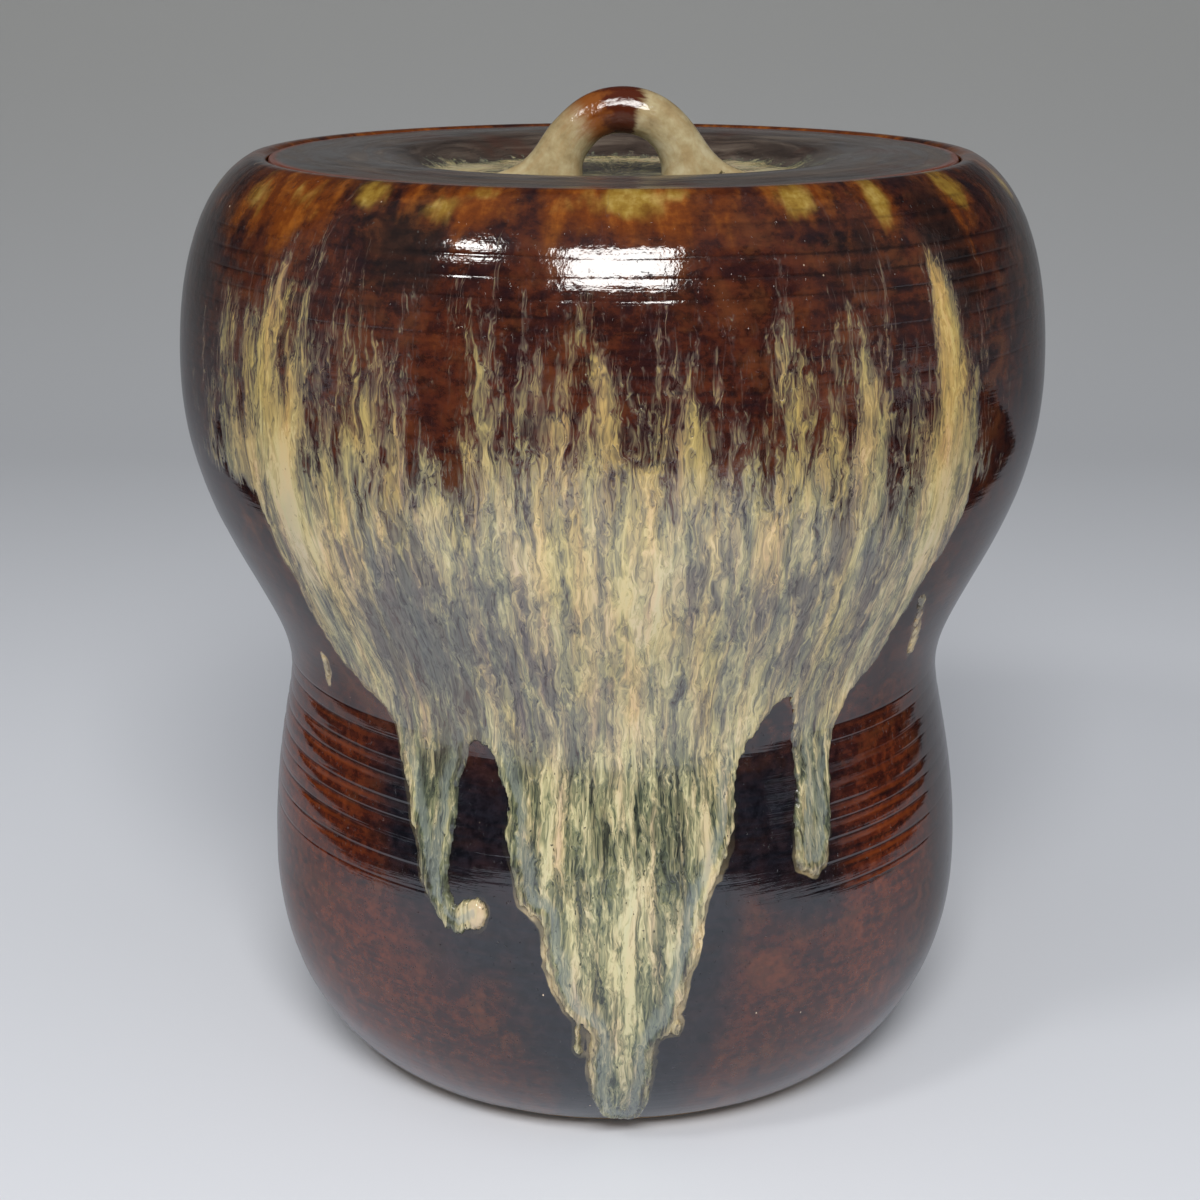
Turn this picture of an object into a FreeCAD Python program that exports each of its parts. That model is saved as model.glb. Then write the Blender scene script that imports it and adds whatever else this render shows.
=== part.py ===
import FreeCAD, Part
import math
import os

# Jar: gourd outline of the bare clay, radius and height at each turn of the curve,
# with the shoulder reaching from the belly up to the lip
foot_radius = 51.0
lower_bulb_radius = 69.1
lower_bulb_height = 37.7
waist_radius = 64.2
waist_height = 79.1
belly_radius = 82.4
shoulder_height = 39.2
jar_height = 176.5

# Slope of the clay wall where it leaves the foot and where it reaches the lip, degrees
foot_slope = 33.0
lip_slope = 27.5

# Fullness of each rounded stretch: how far its curve runs on before it turns,
# as a share of the stretch, first at its lower end and then at its upper end
foot_stretch_shares = (0.33, 0.44)
waist_stretch_shares = (0.53, 0.19)
belly_stretch_shares = (0.27, 0.49)
lip_stretch_shares = (0.40, 0.29)

# Jar: wall, base, mouth and the ring that carries the lid
wall_thickness = 6.0
base_thickness = 8.0
floor_round = 9.0
foot_chamfer = 0.8
mouth_radius = 65.0
lip_thickness = 3.0
seat_width = 7.0
seat_thickness = 6.0

# Glaze coats
glaze_thickness = 0.4
bare_foot_height = 3.4
ash_sheet_thickness = 0.5
ash_run_thickness = 1.0

# Lid: plate, dished middle and locating ring
lid_thickness = 6.0
lid_rim_gap = 0.7
lid_edge_round = 0.9
dish_rim_gap = 4.5
dish_slope_run = 18.0
dish_depth = 5.2
dish_turn_share = 0.5
flange_gap = 1.5
flange_width = 5.0
flange_depth = 8.0
flange_edge_round = 1.2
ash_pool_depth = 1.0

# Lid handle: a roll of clay bent into an arch, with feet smeared outwards on the dish
handle_offset = 1.7
handle_roll_radius = 4.0
handle_half_span = 12.4
handle_rise = 14.0
handle_toe_reach = 3.8
handle_toe_share = 0.85
handle_heel_share = 0.3
handle_flare_power = 4
handle_sections = 13
handle_root = 2.0

# Outline of the poured ash glaze seen from the front: across as a share of the belly
# radius, height as a share of the rise from the waist to the lip, or of the drop from
# the waist to the foot where it is below zero
left_edge_shares = [
    (-0.74, 0.80), (-0.77, 0.67), (-0.765, 0.49), (-0.72, 0.39), (-0.65, 0.26), (-0.59, 0.15),
    (-0.505, 0.06),
]
left_run_shares = [
    (-0.46, -0.06), (-0.435, -0.22), (-0.40, -0.36), (-0.355, -0.43), (-0.31, -0.41), (-0.32, -0.35),
    (-0.37, -0.30), (-0.385, -0.20), (-0.365, -0.06), (-0.315, 0.025),
]
centre_run_shares = [
    (-0.255, 0.015), (-0.22, -0.11), (-0.215, -0.24), (-0.17, -0.42), (-0.11, -0.58), (-0.06, -0.68),
    (-0.055, -0.82), (-0.03, -0.92), (0.03, -0.925), (0.06, -0.83), (0.085, -0.68), (0.165, -0.46),
    (0.215, -0.31), (0.245, -0.14), (0.285, 0.015),
]
right_run_shares = [
    (0.355, 0.08), (0.385, -0.06), (0.395, -0.22), (0.42, -0.31), (0.455, -0.27), (0.465, -0.11),
    (0.485, 0.02),
]
right_edge_shares = [
    (0.555, 0.14), (0.62, 0.26), (0.70, 0.37), (0.745, 0.51), (0.745, 0.69), (0.70, 0.82),
]
top_edge_shares = [
    (0.61, 0.75), (0.50, 0.64), (0.36, 0.71), (0.22, 0.62), (0.10, 0.71), (-0.02, 0.78),
    (-0.14, 0.66), (-0.30, 0.69), (-0.45, 0.62), (-0.60, 0.73),
]

# Construction
curve_steps = 5
overrun = 2.0
outline_points = 8

up = FreeCAD.Vector(0, 0, 1)
front = FreeCAD.Vector(0, -1, 0)
centre = FreeCAD.Vector(0, 0, 0)

lip_radius = mouth_radius + lip_thickness
belly_height = jar_height - shoulder_height
seat_height = jar_height - lid_thickness
seat_bore_radius = mouth_radius - seat_width
lid_radius = mouth_radius - lid_rim_gap
flange_radius = seat_bore_radius - flange_gap
dish_rim_radius = flange_radius - flange_width - dish_rim_gap
dish_floor_radius = dish_rim_radius - dish_slope_run
dish_floor_height = jar_height - dish_depth


def direction(degrees):
    return (math.cos(math.radians(degrees)), math.sin(math.radians(degrees)))


def rounded_stretch(start, start_way, end, end_way, steps):
    """Points and tangents along one cubic Bezier stretch.

    The curve leaves start along start_way and arrives at end along end_way. Both are
    given as (length, unit direction), and the first point is left out.
    """
    start_length, start_unit = start_way
    end_length, end_unit = end_way
    first = tuple(s + start_length * u for s, u in zip(start, start_unit))
    second = tuple(e - end_length * u for e, u in zip(end, end_unit))
    rows = []
    for step in range(1, steps + 1):
        t = step / steps
        k = 1 - t
        place = []
        tangent = []
        for a, b, c, d in zip(start, first, second, end):
            place.append(k**3 * a + 3 * k * k * t * b + 3 * k * t * t * c + t**3 * d)
            tangent.append(k * k * (b - a) + 2 * k * t * (c - b) + t * t * (d - c))
        rows.append((place, tangent))
    return rows


def gourd_rows():
    """Points and tangents of the clay's outline, from the foot up to the lip."""
    upward = (0, 1)
    leave_foot = direction(foot_slope)
    reach_lip = direction(180 - lip_slope)
    foot = (foot_radius, 0)
    lower_bulb = (lower_bulb_radius, lower_bulb_height)
    waist = (waist_radius, waist_height)
    belly = (belly_radius, belly_height)
    lip = (lip_radius, jar_height)
    foot_chord = math.dist(foot, lower_bulb)
    lip_chord = math.dist(belly, lip)
    waist_rise = waist_height - lower_bulb_height
    belly_rise = belly_height - waist_height

    rows = [(list(foot), list(leave_foot))]
    rows += rounded_stretch(
        foot, (foot_stretch_shares[0] * foot_chord, leave_foot),
        lower_bulb, (foot_stretch_shares[1] * lower_bulb_height, upward), curve_steps)
    rows += rounded_stretch(
        lower_bulb, (waist_stretch_shares[0] * waist_rise, upward),
        waist, (waist_stretch_shares[1] * waist_rise, upward), curve_steps)
    rows += rounded_stretch(
        waist, (belly_stretch_shares[0] * belly_rise, upward),
        belly, (belly_stretch_shares[1] * belly_rise, upward), curve_steps)
    rows += rounded_stretch(
        belly, (lip_stretch_shares[0] * shoulder_height, upward),
        lip, (lip_stretch_shares[1] * lip_chord, reach_lip), curve_steps)
    return rows


def gourd_solid(offset):
    """Solid of revolution whose surface lies the offset outside the clay's outline."""
    points = []
    for (radius, height), (across, rise) in gourd_rows():
        length = math.hypot(across, rise)
        points.append(FreeCAD.Vector(
            radius + offset * rise / length, 0, height - offset * across / length))
    curve = Part.BSplineCurve()
    curve.interpolate(points)
    bottom_centre = FreeCAD.Vector(0, 0, points[0].z)
    top_centre = FreeCAD.Vector(0, 0, points[-1].z)
    edges = [
        curve.toShape(),
        Part.makeLine(points[-1], top_centre),
        Part.makeLine(top_centre, bottom_centre),
        Part.makeLine(bottom_centre, points[0]),
    ]
    return Part.Face(Part.Wire(edges)).revolve(centre, up, 360)


def slab(low, high):
    """Flat disc wider than the jar, between two heights."""
    radius = belly_radius + lid_thickness + overrun
    return Part.makeCylinder(radius, high - low, FreeCAD.Vector(0, 0, low), up)


def ring(inner_radius, outer_radius, low, high):
    place = FreeCAD.Vector(0, 0, low)
    outer = Part.makeCylinder(outer_radius, high - low, place, up)
    bore = Part.makeCylinder(inner_radius, high - low + 2 * overrun, place - up * overrun, up)
    return outer.cut(bore)


def edges_at(shape, height, radius):
    """Circular edges of a shape that lie at a height, outside a radius."""
    near = glaze_thickness / 4
    found = []
    for edge in shape.Edges:
        box = edge.BoundBox
        if abs(box.ZMin - height) < near and abs(box.ZMax - height) < near and box.XMax > radius:
            found.append(edge)
    return found


def cavity(offset):
    """Space inside the wall, an offset away from it, with its rounded floor corner."""
    floor_height = base_thickness + offset
    hollow = gourd_solid(-wall_thickness - offset).common(slab(floor_height, seat_height))
    return hollow.makeFillet(floor_round - offset, edges_at(hollow, floor_height, floor_round))


def jar_wall():
    """The whole thrown pot: wall, base and mouth."""
    body = gourd_solid(0)
    body = body.makeChamfer(foot_chamfer, edges_at(body, 0, foot_radius - foot_chamfer))
    mouth_top = jar_height + overrun
    throat_low = seat_height - seat_thickness
    throat = Part.makeCylinder(
        seat_bore_radius, mouth_top - throat_low, FreeCAD.Vector(0, 0, throat_low), up)
    mouth = Part.makeCylinder(
        mouth_radius, mouth_top - seat_height, FreeCAD.Vector(0, 0, seat_height), up)
    return body.cut(cavity(0)).cut(throat).cut(mouth)


def lower_wall():
    return jar_wall().common(slab(0, waist_height))


def upper_wall():
    return jar_wall().common(slab(waist_height, jar_height))


def lid_seat():
    """Ring inside the mouth: flat top for the lid, outer side against the wall."""
    seat_low = seat_height - seat_thickness
    return ring(seat_bore_radius, belly_radius, seat_low, seat_height).common(cavity(0))


def outer_iron_glaze():
    coat = gourd_solid(glaze_thickness).cut(gourd_solid(0))
    coat_top = jar_height + glaze_thickness + overrun
    mouth = Part.makeCylinder(
        mouth_radius, coat_top - seat_height, FreeCAD.Vector(0, 0, seat_height), up)
    return coat.common(slab(bare_foot_height, coat_top)).cut(mouth)


def inner_glaze():
    below_seat = slab(0, seat_height - seat_thickness)
    return cavity(0).cut(cavity(glaze_thickness)).common(below_seat)


def ash_outline_prism():
    """Front outline of the poured glaze, carried forwards through the jar's face."""
    shares = (left_edge_shares + left_run_shares + centre_run_shares + right_run_shares
              + right_edge_shares + top_edge_shares)
    points = []
    for across, rise in shares:
        reach = jar_height - waist_height if rise > 0 else waist_height
        points.append(FreeCAD.Vector(across * belly_radius, 0, waist_height + rise * reach))
    curve = Part.BSplineCurve()
    curve.interpolate(Points=points, PeriodicFlag=True)
    face = Part.Face(Part.Wire([curve.toShape()]))
    return face.extrude(front * (belly_radius + glaze_thickness + ash_run_thickness + overrun))


def ash_layer(thickness, low, high):
    under = gourd_solid(glaze_thickness)
    layer = gourd_solid(glaze_thickness + thickness).cut(under)
    return layer.common(ash_outline_prism()).common(slab(low, high))


def ash_glaze_sheet():
    return ash_layer(ash_sheet_thickness, waist_height, jar_height)


def ash_glaze_runs():
    """The three thicker runs below the waist, from left to right."""
    runs = ash_layer(ash_run_thickness, bare_foot_height, waist_height).Solids
    return sorted(runs, key=lambda run: run.CenterOfMass.x)


def dish_curve(drop):
    """The lid's dish from its rim down to its floor, lowered by drop."""
    rim = FreeCAD.Vector(dish_rim_radius, 0, jar_height - drop)
    floor = FreeCAD.Vector(dish_floor_radius, 0, dish_floor_height - drop)
    run = FreeCAD.Vector((dish_rim_radius - dish_floor_radius) * dish_turn_share, 0, 0)
    curve = Part.BezierCurve()
    curve.setPoles([rim, rim - run, floor + run, floor])
    return curve.toShape()


def dished_disc(radius, top_drop, low_drop):
    """Disc with a dished middle, between two drops below the lid's rim plane."""
    rim_top = FreeCAD.Vector(radius, 0, jar_height - top_drop)
    rim_low = FreeCAD.Vector(radius, 0, jar_height - low_drop)
    dish_top = FreeCAD.Vector(dish_rim_radius, 0, jar_height - top_drop)
    dish_low = FreeCAD.Vector(dish_rim_radius, 0, jar_height - low_drop)
    floor_top = FreeCAD.Vector(dish_floor_radius, 0, dish_floor_height - top_drop)
    floor_low = FreeCAD.Vector(dish_floor_radius, 0, dish_floor_height - low_drop)
    middle_top = FreeCAD.Vector(0, 0, dish_floor_height - top_drop)
    middle_low = FreeCAD.Vector(0, 0, dish_floor_height - low_drop)
    edges = [
        Part.makeLine(rim_low, rim_top),
        Part.makeLine(rim_top, dish_top),
        dish_curve(top_drop),
        Part.makeLine(floor_top, middle_top),
        Part.makeLine(middle_top, middle_low),
        Part.makeLine(middle_low, floor_low),
        dish_curve(low_drop),
        Part.makeLine(dish_low, rim_low),
    ]
    return Part.Face(Part.Wire(edges)).revolve(centre, up, 360)


def lid_plate():
    plate = dished_disc(lid_radius, 0, lid_thickness)
    rim_edges = edges_at(plate, jar_height, lid_radius - lid_edge_round)
    return plate.makeFillet(lid_edge_round, rim_edges)


def lid_flange():
    low = seat_height - flange_depth
    flange = ring(flange_radius - flange_width, flange_radius, low, seat_height)
    return flange.makeFillet(flange_edge_round, edges_at(flange, low, dish_floor_radius))


def lid_iron_glaze():
    coat = dished_disc(lid_radius - lid_edge_round, -glaze_thickness, 0)
    return coat.cut(handle_roll(glaze_thickness))


def lid_ash_pool():
    """Glaze gathered in the dish, level on top, round the feet of the handle."""
    bed_height = dish_floor_height + glaze_thickness
    level = Part.makeCylinder(
        dish_rim_radius, ash_pool_depth, FreeCAD.Vector(0, 0, bed_height), up)
    coated_lid = dished_disc(lid_radius, -glaze_thickness, lid_thickness)
    return level.cut(coated_lid).cut(handle_roll(glaze_thickness))


def handle_ring(place, tangent, across, depth):
    """Closed oval section of the handle, square to its path."""
    side = FreeCAD.Vector(tangent.z, 0, -tangent.x)
    points = []
    for index in range(outline_points):
        angle = 2 * math.pi * index / outline_points
        points.append(place + side * (across * math.cos(angle)) - front * (depth * math.sin(angle)))
    curve = Part.BSplineCurve()
    curve.interpolate(Points=points, PeriodicFlag=True)
    return Part.Wire([curve.toShape()])


def handle_roll(skin):
    """The bent roll of clay grown by a skin, with feet that reach below the dish."""
    sections = []
    for index in range(handle_sections):
        angle = math.pi * index / (handle_sections - 1)
        flare = (1 - math.sin(angle)) ** handle_flare_power
        reach = handle_half_span * math.cos(angle)
        reach += math.copysign(handle_toe_reach * flare, reach)
        height = dish_floor_height + handle_rise * math.sin(angle)
        place = FreeCAD.Vector(handle_offset + reach, 0, height)
        tangent = FreeCAD.Vector(
            -handle_half_span * math.sin(angle), 0, handle_rise * math.cos(angle))
        tangent.normalize()
        across = handle_roll_radius * (1 + handle_toe_share * flare) + skin
        depth = handle_roll_radius * (1 + handle_heel_share * flare) + skin
        if index == 0:
            sections.append(handle_ring(place - up * handle_root, up, across, depth))
        sections.append(handle_ring(place, tangent, across, depth))
        if index == handle_sections - 1:
            sections.append(handle_ring(place - up * handle_root, -up, across, depth))
    return Part.makeLoft(sections, True, False)


def lid_handle():
    return handle_roll(0).cut(dished_disc(lid_radius, 0, lid_thickness))


def handle_ash_glaze():
    coat = handle_roll(glaze_thickness).cut(handle_roll(0))
    return coat.cut(dished_disc(lid_radius, 0, lid_thickness))


def write(name, shape):
    solids = shape.Solids
    whole = solids[0] if len(solids) == 1 else Part.makeCompound(solids)
    whole.exportStep(os.path.join("parts", name + ".step"))
    print(name, "solids", len(solids), "valid", whole.isValid(), "volume", round(whole.Volume))


def main():
    os.makedirs("parts", exist_ok=True)
    write("lower_wall", lower_wall())
    write("upper_wall", upper_wall())
    write("lid_seat", lid_seat())
    write("outer_iron_glaze", outer_iron_glaze())
    write("inner_glaze", inner_glaze())
    write("ash_glaze_sheet", ash_glaze_sheet())
    for name, run in zip(("left_glaze_run", "centre_glaze_run", "right_glaze_run"), ash_glaze_runs()):
        write(name, run)
    write("lid_plate", lid_plate())
    write("lid_flange", lid_flange())
    write("lid_handle", lid_handle())
    write("lid_iron_glaze", lid_iron_glaze())
    write("lid_ash_pool", lid_ash_pool())
    write("handle_ash_glaze", handle_ash_glaze())


main()
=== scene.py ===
import math

import bpy
import numpy as np
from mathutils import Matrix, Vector


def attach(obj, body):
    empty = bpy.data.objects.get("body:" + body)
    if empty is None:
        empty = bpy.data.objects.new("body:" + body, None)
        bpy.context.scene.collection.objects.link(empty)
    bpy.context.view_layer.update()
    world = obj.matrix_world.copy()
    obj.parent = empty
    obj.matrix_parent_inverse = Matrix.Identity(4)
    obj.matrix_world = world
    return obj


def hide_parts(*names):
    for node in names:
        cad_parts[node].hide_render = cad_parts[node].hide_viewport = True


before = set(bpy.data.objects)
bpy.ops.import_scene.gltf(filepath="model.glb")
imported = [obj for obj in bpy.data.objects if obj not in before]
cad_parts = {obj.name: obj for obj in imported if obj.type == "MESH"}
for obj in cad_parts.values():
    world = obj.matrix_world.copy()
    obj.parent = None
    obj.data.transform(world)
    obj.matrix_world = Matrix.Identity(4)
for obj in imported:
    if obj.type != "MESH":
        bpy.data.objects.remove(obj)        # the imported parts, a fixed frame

for spare in ("Cube", "Light", "Camera"):
    if spare in bpy.data.objects:
        bpy.data.objects.remove(bpy.data.objects[spare])
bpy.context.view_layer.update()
mm = 0.001
scene = bpy.context.scene


jarShape = {
    # radius and height in mm of the foot, the lower bulb, the waist, the belly and the lip
    "outline": [(51, 0), (69.1, 37.7), (64.2, 79.1), (82.15, 137.3), (68, 176.5)],
    "slopes": {0: 33.0, 4: 152.5},  # degrees at the foot and the lip; the others are upright
    "fullness": [(0.33, 0.44), (0.53, 0.19), (0.27, 0.49), (0.40, 0.29)],  # share of each stretch that its ends pull
    "leans": [(38.0, 0.55, 30.0), (137.0, -0.2, 35.0)],  # height, shift to the right, spread
    "uneven": 0.10, "unevenSize": 55.0,  # hand-thrown wander of the wall
    "steadyLow": (0, 12), "steadyHigh": (176, 160),  # heights between which the wander comes and goes
    "unrolled": 80.0,  # radius of the even round that patterns are laid out on
}

throwing = {
    # height, depth, half width of each groove in mm, and the angle and spread where it is deepest
    "grooves": [
        (173.6, 0.03, 0.7, 30, 40), (171.8, 0.05, 0.7, -60, 100), (167.2, 0.10, 0.75, 30, 200),
        (164.1, 0.12, 0.75, -30, 220), (161, 0.10, 0.75, -55, 150), (158.4, 0.05, 0.7, 90, 120),
        (155.2, 0.06, 0.8, 20, 160), (151.2, 0.04, 0.8, 150, 160), (146.8, 0.04, 0.9, -90, 160),
        (80.6, 0.12, 0.7, -50, 80), (77.4, 0.20, 0.8, -60, 120), (73.6, 0.26, 1, 60, 220),
        (70.4, 0.16, 0.7, -40, 100), (66.2, 0.27, 1.1, -70, 200), (63.2, 0.15, 0.8, 50, 130),
        (59.8, 0.22, 1, -45, 150), (55.6, 0.15, 0.9, 40, 160), (51.2, 0.10, 0.9, -50, 160),
    ],
    "least": 0.25,  # depth that a groove keeps on its far side
    "fine": 0.016, "fineSize": 1.5,  # small rings between the grooves
    "soft": 0.05, "softSize": 5,  # broad swells from the fingers
    "stretch": 40,  # how much longer the rings are round the jar than up it
    "helix": 0.5, "waver": 0.22, "waverSize": 30,  # mm that a groove climbs as it goes round, and strays
    "line": 0.36,  # half width of the dark line in a groove, mm
    "patchy": (0.62, 0.42, 26, 0.15),  # middle, swing, size and least of the uneven depth
    "worn": (0.85, -1, 9, 150, 160),  # share, angle, spread, and heights over which the front is worn smooth
    # filled with glaze: share, angle, angles away from it and heights between which that begins
    "filled": [(0.97, 2, 38, 27, 92, 84), (0.85, 0, 52, 68, 120, 135), (0.85, 84, 28, 20, 92, 84)],
    "calm": (1, 8, 176, 171),  # heights at the foot and the lip between which rings come and go
}

poured = {
    # edge of the poured ash glaze seen from the front, across and height in mm
    "outline": [
        (-63, 157), (-62.8, 143.5), (-62.4, 128), (-59.2, 117), (-55, 106.5), (-51.5, 97.5),
        (-48, 91.5), (-43.5, 87), (-39.5, 82), (-37.5, 72.5), (-35.6, 61.5), (-33.4, 51),
        (-29.6, 45.4), (-27, 45.2), (-23.9, 47.6), (-23.3, 50.4), (-24.6, 52), (-27, 51.5),
        (-28.3, 50.2), (-29.3, 53), (-29.6, 58.5), (-28.4, 64.8), (-27.5, 71), (-26.2, 75.5),
        (-25.4, 79.6), (-23.6, 80.6), (-21.6, 79), (-19.7, 73.5), (-18.7, 69), (-18.8, 62.5),
        (-17.4, 57.4), (-17, 52.4), (-13.9, 49.5), (-12.7, 43), (-10.4, 35), (-7.7, 31),
        (-5.2, 28.6), (-4.5, 24), (-4.6, 16.5), (-3.8, 10.2), (-2.2, 6.2), (2, 4.6), (5, 6.2),
        (6, 12), (6.8, 20), (7.2, 25), (9.6, 29), (12, 36), (13.8, 45), (15.8, 53),
        (19.2, 60), (21, 66.5), (20.8, 74.5), (23.2, 80), (26.6, 85.5), (29.3, 88.4), (30.9, 87),
        (31.6, 80), (32.1, 70), (32, 61), (32.2, 57), (33.6, 55.2), (36.6, 55.1), (38, 57.4),
        (38.2, 67), (38.5, 75.5), (39.6, 82), (42, 87), (46, 92.3), (49.2, 98.7), (51.4, 104.4),
        (54.6, 110), (58, 114.5), (61, 122.5), (62.2, 131.5), (62.2, 140.5), (59, 152.5),
        (54, 157), (48, 148), (36, 150), (24, 145), (12, 148), (-2, 154),
        (-14, 145), (-28, 148), (-42, 144), (-54, 152),
    ],
    "tatter": [(0.55, 2.4, 5), (0.34, 0.8, 1.8)],  # depth, width and height of the ragged edge, mm
    "drips": [  # loose drips beside the tip: across, top, bottom, half width
        (-6.9, 30.5, 24, 0.55), (8.9, 30.4, 28, 0.5), (10.6, 29.6, 28.4, 0.8),
        (-52.4, 89.5, 84.2, 0.7), (54.2, 104, 91, 0.55),
    ],
    "middle": -2,  # angle that the whole pour lies round
}


def softNoise(points, size, seed, waves=28):
    # Sum of plane waves with seeded directions and phases, about -1 to 1; size is the feature size in metres,
    # one number or one per axis
    rng = np.random.default_rng(seed)
    ways = rng.normal(size=(waves, 3)) * 2.0 / np.asarray(size, float)
    phases = rng.uniform(0, 2 * math.pi, waves)
    total = np.zeros(points.shape[:-1])
    for way, phase in zip(ways, phases):
        total += np.sin(points @ way + phase)
    return total / math.sqrt(waves / 2) * 0.55


def smooth(value, low, high):
    # Smooth step: 0 below low, 1 above high, 3t^2 - 2t^3 between; it falls where high is below low
    t = np.clip((value - low) / (high - low), 0, 1)
    return t * t * (3 - 2 * t)


def bell(value, middle, spread):
    # A bump of height 1 round the middle: e to the minus square of the distance in spreads
    return np.exp(-((value - middle) / spread) ** 2)


def turnOf(angle):
    # Angle in degrees from the front, -180 to 180
    return np.degrees((angle + math.pi) % (2 * math.pi) - math.pi)


def roundOf(columns):
    return np.linspace(-math.pi, math.pi, columns, endpoint=False)[None, :]


def jarCurve(count=260):
    # The jar's outline from foot to lip: a cubic Bezier stretch between each two points, upright at the bulbs
    # and the waist, with the length run along it and the outward normal at each place
    t = np.linspace(0, 1, count)[:, None]
    k, points, rows = 1 - t, np.array(jarShape["outline"]), []
    for n, shares in enumerate(jarShape["fullness"]):
        p, q = points[n:n + 2]
        pulls = []
        for end, share in zip((n, n + 1), shares):
            slope = math.radians(jarShape["slopes"].get(end, 90))
            length = math.dist(p, q) if end in jarShape["slopes"] else (q - p)[1]
            pulls.append(share * length * np.array((math.cos(slope), math.sin(slope))))
        rows.append(k**3 * p + 3 * k * k * t * (p + pulls[0]) + 3 * k * t * t * (q - pulls[1]) + t**3 * q)
    line = np.concatenate([rows[0]] + [r[1:] for r in rows[1:]]) * mm
    run = np.concatenate([[0], np.cumsum(np.hypot(*np.diff(line, axis=0).T))])
    way = np.gradient(line, run, axis=0)
    way /= np.linalg.norm(way, axis=1)[:, None]
    return {"run": run, "radius": line[:, 0], "height": line[:, 1], "out": way[:, 1], "rise": -way[:, 0]}


jarLine = jarCurve()
lipRun = jarLine["run"][-1]


def along(name, run):
    return np.interp(run, jarLine["run"], jarLine[name])


def runAt(height):
    return np.interp(height, jarLine["height"], jarLine["run"])


def flowOf(angle, run):
    # Place on an unrolled jar: an even round and the run up the outline, so patterns follow the wall
    angle, run = np.broadcast_arrays(angle, run)
    return np.stack([jarShape["unrolled"] * mm * np.sin(angle), -jarShape["unrolled"] * mm * np.cos(angle), run], -1)


def thrownHeight(angle, run):
    # Height in mm as the throwing rings count it: they climb slowly round the jar and waver a little
    waver = throwing["waver"] * softNoise(flowOf(angle, run), throwing["waverSize"] * mm, 5)
    return along("height", run) / mm + 0.5 * throwing["helix"] * np.sin(angle) + waver


def grooveDepth(angle, run):
    # How deep the grooves are, 0 to 1: uneven round the jar, worn smooth at the front of the shoulder, and
    # filled by thick glaze between the runs, at the belly's sides and low on the right
    turn, height = turnOf(angle), along("height", run) / mm
    middle, swing, size, least = throwing["patchy"]
    deep = middle + swing * softNoise(flowOf(angle, run) * (1, 1, 3), size * mm, 6)
    share, at, spread, low, high = throwing["worn"]
    deep = np.clip(deep, least, 1) * (1 - share * bell(turn, at, spread) * smooth(height, low, high))
    for share, at, far, near, low, high in throwing["filled"]:
        deep = deep * (1 - share * smooth(np.abs(turn - at), far, near) * smooth(height, low, high))
    return deep


def ringRelief(angle, run):
    # Throwing rings: smooth grooves at given heights, each fading round the jar, plus small rings made by
    # noise that is long around the jar and short up it
    flow, height = flowOf(angle, run), thrownHeight(angle, run)
    relief = np.zeros(np.shape(flow)[:-1])
    for at, depth, half, middle, spread in throwing["grooves"]:
        away = (np.degrees(angle) - middle + 180) % 360 - 180
        strength = throwing["least"] + (1 - throwing["least"]) * bell(away, 0, spread)
        relief -= depth * strength * bell(height, at, half)
    longWay = np.array((throwing["stretch"], throwing["stretch"], 1.0))
    relief += throwing["fine"] * softNoise(flow, longWay * throwing["fineSize"] * mm, 11, 60)
    relief += throwing["soft"] * softNoise(flow, longWay * throwing["softSize"] * mm, 12, 40)
    low, full, end, start = throwing["calm"]
    return relief * (0.08 + 0.92 * grooveDepth(angle, run)) * smooth(height, low, full) * smooth(height, end, start)


def onJar(angle, run, offset, rings=1.0):
    # A point of the wall: the outline turned round the axis, moved along its normal by offset, by the
    # throwing rings and by a slow unevenness, then leaned sideways
    angle, run = np.broadcast_arrays(angle, run)
    height = along("height", run)
    low, high = ([h * mm for h in jarShape[k]] for k in ("steadyLow", "steadyHigh"))
    wander = jarShape["uneven"] * mm * softNoise(flowOf(angle, run), jarShape["unevenSize"] * mm, 3)
    out = offset + rings * mm * ringRelief(angle, run) + smooth(height, *low) * smooth(height, *high) * wander
    radius = along("radius", run) + out * along("out", run)
    tall = height + out * along("rise", run)
    lean = sum(shift * bell(tall / mm, at, spread) for at, shift, spread in jarShape["leans"]) * mm
    return np.stack([radius * np.sin(angle) + lean, -radius * np.cos(angle), tall], -1)


def loopFaces(rows, columns, closedRows=False):
    # Quads of a grid whose columns go round; rows close on themselves as well if asked
    last = rows if closedRows else rows - 1
    i, j = np.meshgrid(np.arange(last), np.arange(columns), indexing="ij")
    k, l = (i + 1) % rows, (j + 1) % columns
    return np.stack([i * columns + j, i * columns + l, k * columns + l, k * columns + j], -1).reshape(-1, 4)


def sheetFaces(rows, columns):
    # Quads of an open grid: the round's quads without those that join its last column to its first
    faces = loopFaces(rows, columns)
    return faces[np.ptp(faces % columns, 1) == 1]


def capped(points, columns, ends):
    # Faces of a grid of rings whose first and last ring are closed by a point each; ends holds those two points
    count = points.shape[0] * columns
    ring = np.arange(columns)
    after = np.roll(ring, -1)
    first = np.stack([np.full(columns, count), after, ring], -1).tolist()
    last = np.stack([np.full(columns, count + 1), count - columns + ring, count - columns + after], -1).tolist()
    return np.concatenate([points.reshape(-1, 3), ends]), loopFaces(len(points), columns).tolist() + first + last


def cappedValues(masks):
    # The values of a grid's points as rows, with zeros for the two points that close it
    rows = {label: value.reshape(-1, 3 if label == "flow" else 1) for label, value in masks.items()}
    return {label: np.pad(value, ((0, 2), (0, 0))).squeeze() for label, value in rows.items()}


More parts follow.
